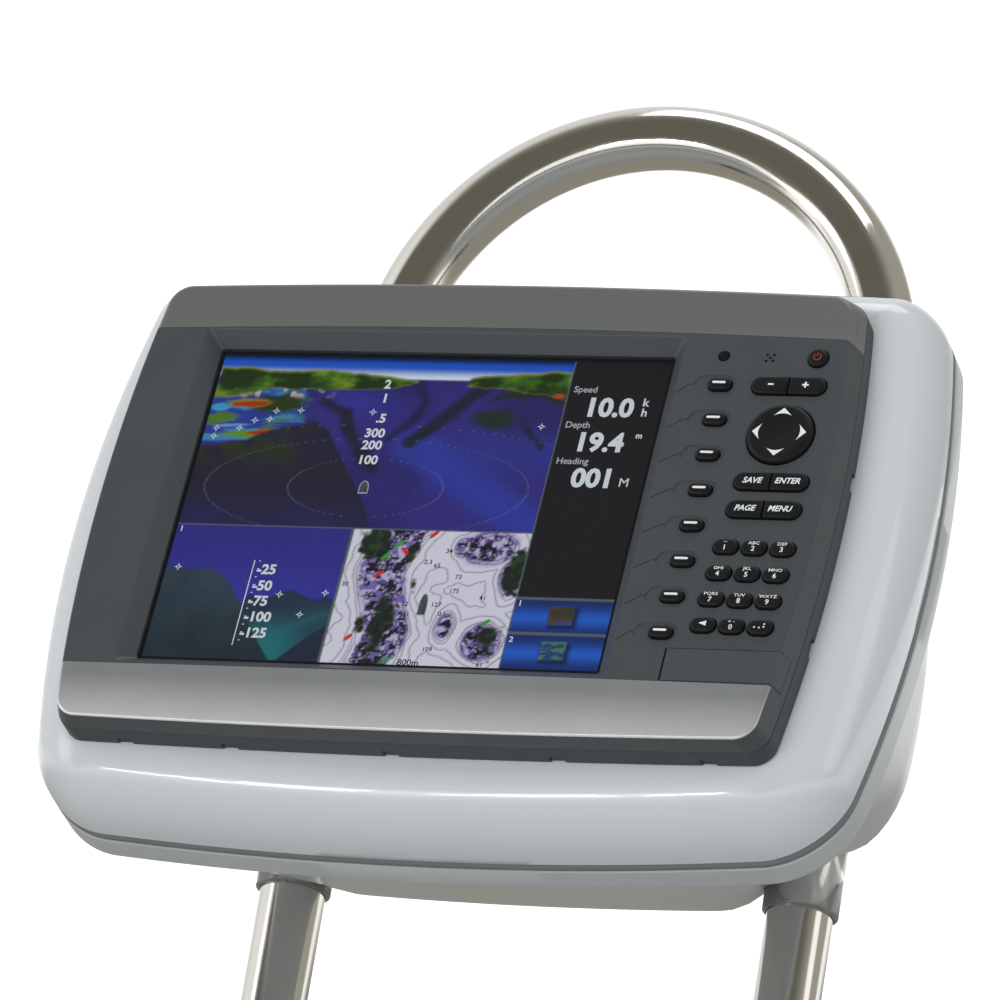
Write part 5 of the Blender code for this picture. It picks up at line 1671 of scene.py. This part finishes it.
def build_feet():
    """Deck feet: flange with three countersunk holes, fillet, socket, hexagon set screw."""
    steel = finish("foot_polish", polished_steel(shade(tuple(colours().steel), 0.98), 0.2, (1.0, 1.0, 0.1)))
    screw_mat = finish("screw_polish", polished_steel((0.55, 0.55, 0.54), 0.3, (1.0, 1.0, 1.0)))
    r, t, sr, sh = FOOT["r"], FOOT["t"], FOOT["socket_r"], FOOT["socket_h"]
    for side, hand in ((-1, "left"), (1, "right")):
        x = side * LEG_HALF
        profile = [(r - 2.0, 0.0), (r - 0.5, 0.0), (r, 0.5), (r, t - 3.0)]
        profile += [(r - 3.0 + 3.0 * math.cos(a), t - 3.0 + 2.2 * math.sin(a))
                    for a in np.radians(np.linspace(0.0, 90.0, 7)[1:])]
        profile += [(sr + 6.0 - 6.0 * math.sin(a), t + 5.2 - 6.0 * math.cos(a) + 0.6)
                    for a in np.radians(np.linspace(6.0, 90.0, 9))]
        profile += [(sr, sh - 1.5), (sr - 0.45, sh - 0.45), (sr - 1.5, sh), (TUBE_R + 1.1, sh),
                    (TUBE_R + 0.3, sh - 0.8), (TUBE_R + 0.3, t)]
        foot = mesh_object("deck_foot_" + hand, [turned(x, 0.0, profile)], [steel])
        tools = []
        for k in range(3):
            a = math.radians(90.0 + 120.0 * k)
            hx, hy = x + FOOT_HOLE_CIRCLE * math.cos(a), FOOT_HOLE_CIRCLE * math.sin(a)
            tools.append(turned(hx, hy, [(2.8, -2.0), (2.8, 5.0), (5.2, 7.6), (5.2, 20.0)], 40))
        a = 2.0 * np.pi * np.arange(40) / 40
        bore = [np.stack([x + 3.3 * np.cos(a), np.full(40, y), SET_SCREW_Z + 3.3 * np.sin(a)], -1)
                for y in (-sr - 4.0, -TUBE_R + 1.0)]
        tools.append(skin(world(bore)))
        cut(foot, tools)
        flatten_shading(foot)
        place(foot, "stand", ["guard_foot_" + hand])
        ring = [np.stack([x + q * np.cos(a), np.full(40, y), SET_SCREW_Z + q * np.sin(a)], -1)
                for q, y in ((2.0, -TUBE_R - 0.3), (3.0, -TUBE_R - 1.0), (3.0, -sr - 0.2), (2.7, -sr - 0.5),
                             (1.6, -sr - 0.5))]
        spoke = 1.3 / hexagon(a)
        socket = [np.stack([x + spoke * np.cos(a), np.full(40, y), SET_SCREW_Z + spoke * np.sin(a)], -1)
                  for y in (-sr - 0.5, -sr + 2.0)]
        screw = mesh_object("hex_screw_" + hand, [skin(world(ring + socket))], [screw_mat])
        place(screw, "stand", ["set_screw_" + hand])


def hexagon(a):
    """How much nearer a hexagon's flat is than its corner circle, for each direction."""
    return np.cos((a % (np.pi / 3.0)) - np.pi / 6.0)


def dress_nodes():
    """Finishes for the pieces that keep their solid shape: sensor, mat, reader, boards, clamps."""
    looks = {
        "sensor_lens": ("sensor_dark", moulded((0.008, 0.008, 0.010), 0.12, 400.0, 0.00001, 0.2)),
        "keypad_mat": ("mat_black", rubber((0.02, 0.02, 0.022), 0.6)),
        "rocker_pivot": ("pivot_plastic", moulded((0.5, 0.5, 0.47), 0.45, 900.0, 0.00003)),
        "door_pin": ("pin_polish", polished_steel((0.6, 0.6, 0.6), 0.25, (1.0, 1.0, 1.0))),
        "card_reader": ("reader_plate", polished_steel((0.5, 0.5, 0.5), 0.35, (1.0, 1.0, 1.0))),
        "main_board": ("board_lacquer", moulded((0.015, 0.10, 0.04), 0.4, 300.0, 0.00005, 0.3)),
        "head_case": ("case_plastic", moulded((0.025, 0.025, 0.028), 0.55, 900.0, 0.00006, 0.15)),
        "power_socket": ("socket_plastic", moulded((0.015, 0.015, 0.015), 0.4, 900.0, 0.00004, 0.2)),
        "data_socket": ("socket_plastic", None),
        "saddle_clamp_left": ("clamp_plastic", moulded((0.22, 0.23, 0.24), 0.5, 900.0, 0.00005)),
        "saddle_clamp_right": ("clamp_plastic", None),
        "clamp_screw_left": ("screw_polish", None),
        "clamp_screw_right": ("screw_polish", None),
    }
    for node, (name, maker) in looks.items():
        mesh = frame["nodes"][node].data
        mesh.materials.clear()
        mesh.materials.append(finish(name, maker))


# ---------------------------------------------------------------- stage

def area_light(name, place_at, aim, size, power, colour=(1.0, 1.0, 1.0)):
    lamp = bpy.data.lights.new(name, "AREA")
    lamp.shape = "RECTANGLE"
    lamp.size, lamp.size_y = size
    lamp.energy = power
    lamp.color = colour
    obj = bpy.data.objects.new(name, lamp)
    bpy.context.scene.collection.objects.link(obj)
    obj.location = place_at
    obj.rotation_euler = (Vector(aim) - Vector(place_at)).to_track_quat("-Z", "Y").to_euler()
    obj.visible_camera = False
    return obj


def build_floor():
    """Flat pale floor. The camera sees it lit up to white; other rays see a plain grey floor."""
    rings = [circle(0.0, 0.0, r, 0.0, 96) for r in (0.02, 1.0, 3.0, 12.0)]
    verts, faces = skin(np.array(rings), end=False)
    floor = mesh_object("floor", [(verts - [0.0, 0.0, 0.0005], faces)], angle=None, closed=False)

    def make(f):
        cloud = f.noise(1.2, 2.0)
        colour = tuple(colours().floor)
        far = f.add("ShaderNodeVectorMath", {"operation": "LENGTH"}, {0: f.place()}, "Value")
        reach = f.add("ShaderNodeMapRange", {"interpolation_type": "SMOOTHSTEP"},
                      {"Value": far, "From Min": 0.35, "From Max": 1.6, "To Min": 0.80, "To Max": 1.1})
        f.set("Base Color", f.blend(cloud, shade(colour, 0.40), shade(colour, 0.44)))
        f.set("Roughness", 0.9)
        f.set("Emission Color", f.blend(reach.clamp(), (0.0, 0.0, 0.0), (1.0, 1.0, 1.0)))
        f.set("Emission Strength", 1.0)
        bounce = f.add("ShaderNodeEmission", None, {"Color": (0.96, 0.98, 1.0), "Strength": 0.46}, 0)
        ring = f.add("ShaderNodeMapRange", {"interpolation_type": "SMOOTHSTEP"},
                     {"Value": far, "From Min": 0.9, "From Max": 1.9})
        sheen = f.blend(ring, (0.33, 0.315, 0.27), (1.25, 1.25, 1.25))
        mirror = f.add("ShaderNodeEmission", None, {"Color": sheen, "Strength": 1.0}, 0)
        path = f.add("ShaderNodeLightPath", output="Is Camera Ray")
        glossy = Value(f, path.socket.node.outputs["Is Glossy Ray"])
        unseen = f.add("ShaderNodeMixShader", None, {0: glossy, 1: bounce, 2: mirror}, 0)
        both = f.add("ShaderNodeMixShader", None, {0: path, 1: unseen, 2: Value(f, f.shader.outputs[0])}, 0)
        f.tree.links.new(both.socket, f.tree.nodes["Material Output"].inputs["Surface"])
        return f
    floor.data.materials.append(finish("floor_white", make))


def build_world():
    """Room for light and reflections: pale beige, olive and dark in front, brighter at the sides.
    The camera sees it as plain white."""
    studio = bpy.data.worlds.new("studio")
    bpy.context.scene.world = studio
    studio.use_nodes = True
    room = Room(studio.node_tree)
    colour = (0.42, 0.405, 0.36)
    for toward, low, high, tone in (((-0.70, 0.68, 0.15), 0.45, 0.80, (0.85, 0.86, 0.86)),
                                    ((-0.02, -0.80, 0.55), 0.20, 0.82, (0.15, 0.143, 0.12)),
                                    ((-0.93, -0.12, 0.36), 0.86, 0.95, (1.0, 1.0, 0.98))):
        colour = room.patch(colour, toward, low, high, tone)
    room.finish(colour)


class Room:
    """World shader: soft round patches of tone, each about a direction."""

    def __init__(self, tree):
        self.tree = tree
        self.way = tree.nodes.new("ShaderNodeTexCoord").outputs["Generated"]

    def patch(self, colour, toward, low, high, tone):
        nodes, links = self.tree.nodes, self.tree.links
        dot = nodes.new("ShaderNodeVectorMath")
        dot.operation = "DOT_PRODUCT"
        dot.inputs[1].default_value = Vector(toward).normalized()
        reach = nodes.new("ShaderNodeMapRange")
        reach.interpolation_type = "SMOOTHSTEP"
        reach.inputs["From Min"].default_value = low
        reach.inputs["From Max"].default_value = high
        mix = nodes.new("ShaderNodeMix")
        mix.data_type = "RGBA"
        links.new(self.way, dot.inputs[0])
        links.new(dot.outputs["Value"], reach.inputs["Value"])
        links.new(reach.outputs["Result"], mix.inputs["Factor"])
        if isinstance(colour, tuple):
            mix.inputs[6].default_value = (*colour, 1.0)
        else:
            links.new(colour, mix.inputs[6])
        mix.inputs[7].default_value = (*tone, 1.0)
        return mix.outputs[2]

    def finish(self, colour):
        """Camera rays see white, glossy rays see the patches, the rest see even light."""
        nodes, links = self.tree.nodes, self.tree.links
        even = self.background((0.97, 0.985, 1.0), 0.60)
        mirror = nodes["Background"]
        links.new(colour, mirror.inputs["Color"])
        white = self.background((1.0, 1.0, 1.0), 1.05)
        path = nodes.new("ShaderNodeLightPath")
        mixed = self.either(path.outputs["Is Glossy Ray"], even.outputs[0], mirror.outputs[0])
        mixed = self.either(path.outputs["Is Camera Ray"], mixed, white.outputs[0])
        links.new(mixed, nodes["World Output"].inputs["Surface"])

    def background(self, colour, strength):
        node = self.tree.nodes.new("ShaderNodeBackground")
        node.inputs["Color"].default_value = (*colour, 1.0)
        node.inputs["Strength"].default_value = strength
        return node

    def either(self, factor, first, second):
        node = self.tree.nodes.new("ShaderNodeMixShader")
        for k, socket in enumerate((factor, first, second)):
            self.tree.links.new(socket, node.inputs[k])
        return node.outputs[0]


def build_camera():
    """Long lens from the right of the face, a little above it."""
    scene = bpy.context.scene
    data = bpy.data.cameras.new("camera")
    data.lens = scene.fish_finder_stage.focal
    data.clip_end = 100.0
    camera = bpy.data.objects.new("camera", data)
    scene.collection.objects.link(camera)
    camera.location = CAMERA_PLACE
    camera.rotation_euler = [math.radians(angle) for angle in CAMERA_TURN]
    scene.camera = camera
    scene.view_settings.view_transform = "Standard"


def build_lights():
    """Softboxes for light, and six thin lamps that only glossy surfaces show."""
    power = bpy.context.scene.fish_finder_stage.key_light
    area_light("softbox_top", (0.1, 0.7, 2.2), (0.0, 0.0, 0.35), (1.6, 1.0), power * 0.85)
    area_light("softbox_left", (-2.0, -1.0, 0.8), (0.0, 0.0, 0.3), (0.7, 1.2), power * 0.3)
    area_light("softbox_right", (2.2, 0.2, 1.0), (0.0, 0.0, 0.3), (0.7, 1.2), power * 0.2)
    front = area_light("softbox_front", (-0.5, -3.0, 0.9), (0.0, 0.0, 0.28), (1.8, 1.2), power * 2.6)
    front.visible_glossy = False
    side = area_light("softbox_bevel", (2.2, -1.5, 0.9), (0.15, 0.0, 0.35), (0.5, 1.0), power * 0.9)
    side.visible_glossy = False
    for x, length, low, high in ((-1.62, 0.22, 0.30, 0.36), (-1.38, 0.34, 0.20, 0.26),
                                 (-1.30, 0.26, 0.36, 0.42),
                                 (-0.86, 0.34, 0.25, 0.31), (-0.84, 0.22, 0.38, 0.42),
                                 (-0.56, 0.14, 0.27, 0.33)):
        z = 0.5 * (low + high)
        glint = area_light("glint", (x, -2.9, z), (x + 1.0, 0.0, z), (length, 2.0 * (high - low)),
                           power * 0.16)
        glint.visible_diffuse = False


# ---------------------------------------------------------------- operators

def operator(idname, label, text, *steps):
    """An operator class whose execute runs the given build steps in order."""
    def execute(self, context):
        for step in steps:
            step()
        return {"FINISHED"}
    return type("FISHFINDER_OT_" + idname, (bpy.types.Operator,),
                {"bl_idname": "fish_finder." + idname, "bl_label": label, "__doc__": text,
                 "bl_options": {"REGISTER", "UNDO"}, "execute": execute})


OPERATORS = (
    operator("front_panel", "Front panel", "Panel with its recess, key holes and door seat", build_fascia),
    operator("trim_strips", "Trim strips", "Painted strips above and below the screen", build_strips),
    operator("head_flange", "Head flange", "Rear edge of the head with its notches", build_flange),
    operator("keys", "Keys", "Every rubber key with its legend", build_keys),
    operator("four_way_pad", "Four-way pad", "Round rocking pad with arrowheads", build_rocker),
    operator("card_door", "Card door", "Hinged door over the memory cards", build_door),
    operator("screen", "Screen", "Display picture and its window", build_screen),
    operator("readouts", "Readouts", "Numbers and marks on the display", build_readouts),
    operator("pod_front", "Pod front", "Rolled front shell of the pod", build_pod_front),
    operator("pod_seal", "Pod seal", "Seal between the shells", build_seal),
    operator("pod_back", "Pod back", "Tapering rear shell of the pod", build_pod_rear),
    operator("guard", "Guard", "Polished tube hoop", build_guard),
    operator("collars", "Collars", "Clear rings round the tube", build_collars),
    operator("feet", "Feet", "Deck feet and their screws", build_feet),
    operator("inner_finishes", "Inner finishes", "Finishes of the pieces that keep their solid",
             dress_nodes),
    operator("stage", "Stage", "Floor, world, lights and camera", build_floor, build_world, build_camera,
             build_lights),
)


class FISHFINDER_PT_panel(bpy.types.Panel):
    """Sizes, colours and one button per piece."""
    bl_label = "Fish finder"
    bl_idname = "FISHFINDER_PT_panel"
    bl_space_type = "VIEW_3D"
    bl_region_type = "UI"
    bl_category = "Fish finder"

    def draw(self, context):
        for group in (context.scene.fish_finder_sizes, context.scene.fish_finder_colours,
                      context.scene.fish_finder_stage):
            box = self.layout.box()
            for key in group.__annotations__:
                box.prop(group, key)
        for cls in OPERATORS:
            self.layout.operator(cls.bl_idname)


GROUPS = {"fish_finder_sizes": FishFinderSizes, "fish_finder_colours": FishFinderColours,
          "fish_finder_stage": FishFinderStage}


def register():
    for key, cls in GROUPS.items():
        bpy.utils.register_class(cls)
        setattr(bpy.types.Scene, key, bpy.props.PointerProperty(type=cls))
    for cls in OPERATORS + (FISHFINDER_PT_panel,):
        bpy.utils.register_class(cls)


def unregister():
    for cls in reversed(OPERATORS + (FISHFINDER_PT_panel,)):
        bpy.utils.unregister_class(cls)
    for key, cls in GROUPS.items():
        delattr(bpy.types.Scene, key)
        bpy.utils.unregister_class(cls)


def main():
    register()
    for cls in OPERATORS:
        name = cls.bl_idname.split(".")[1]
        getattr(bpy.ops.fish_finder, name)()


if __name__ == "__main__":
    main()
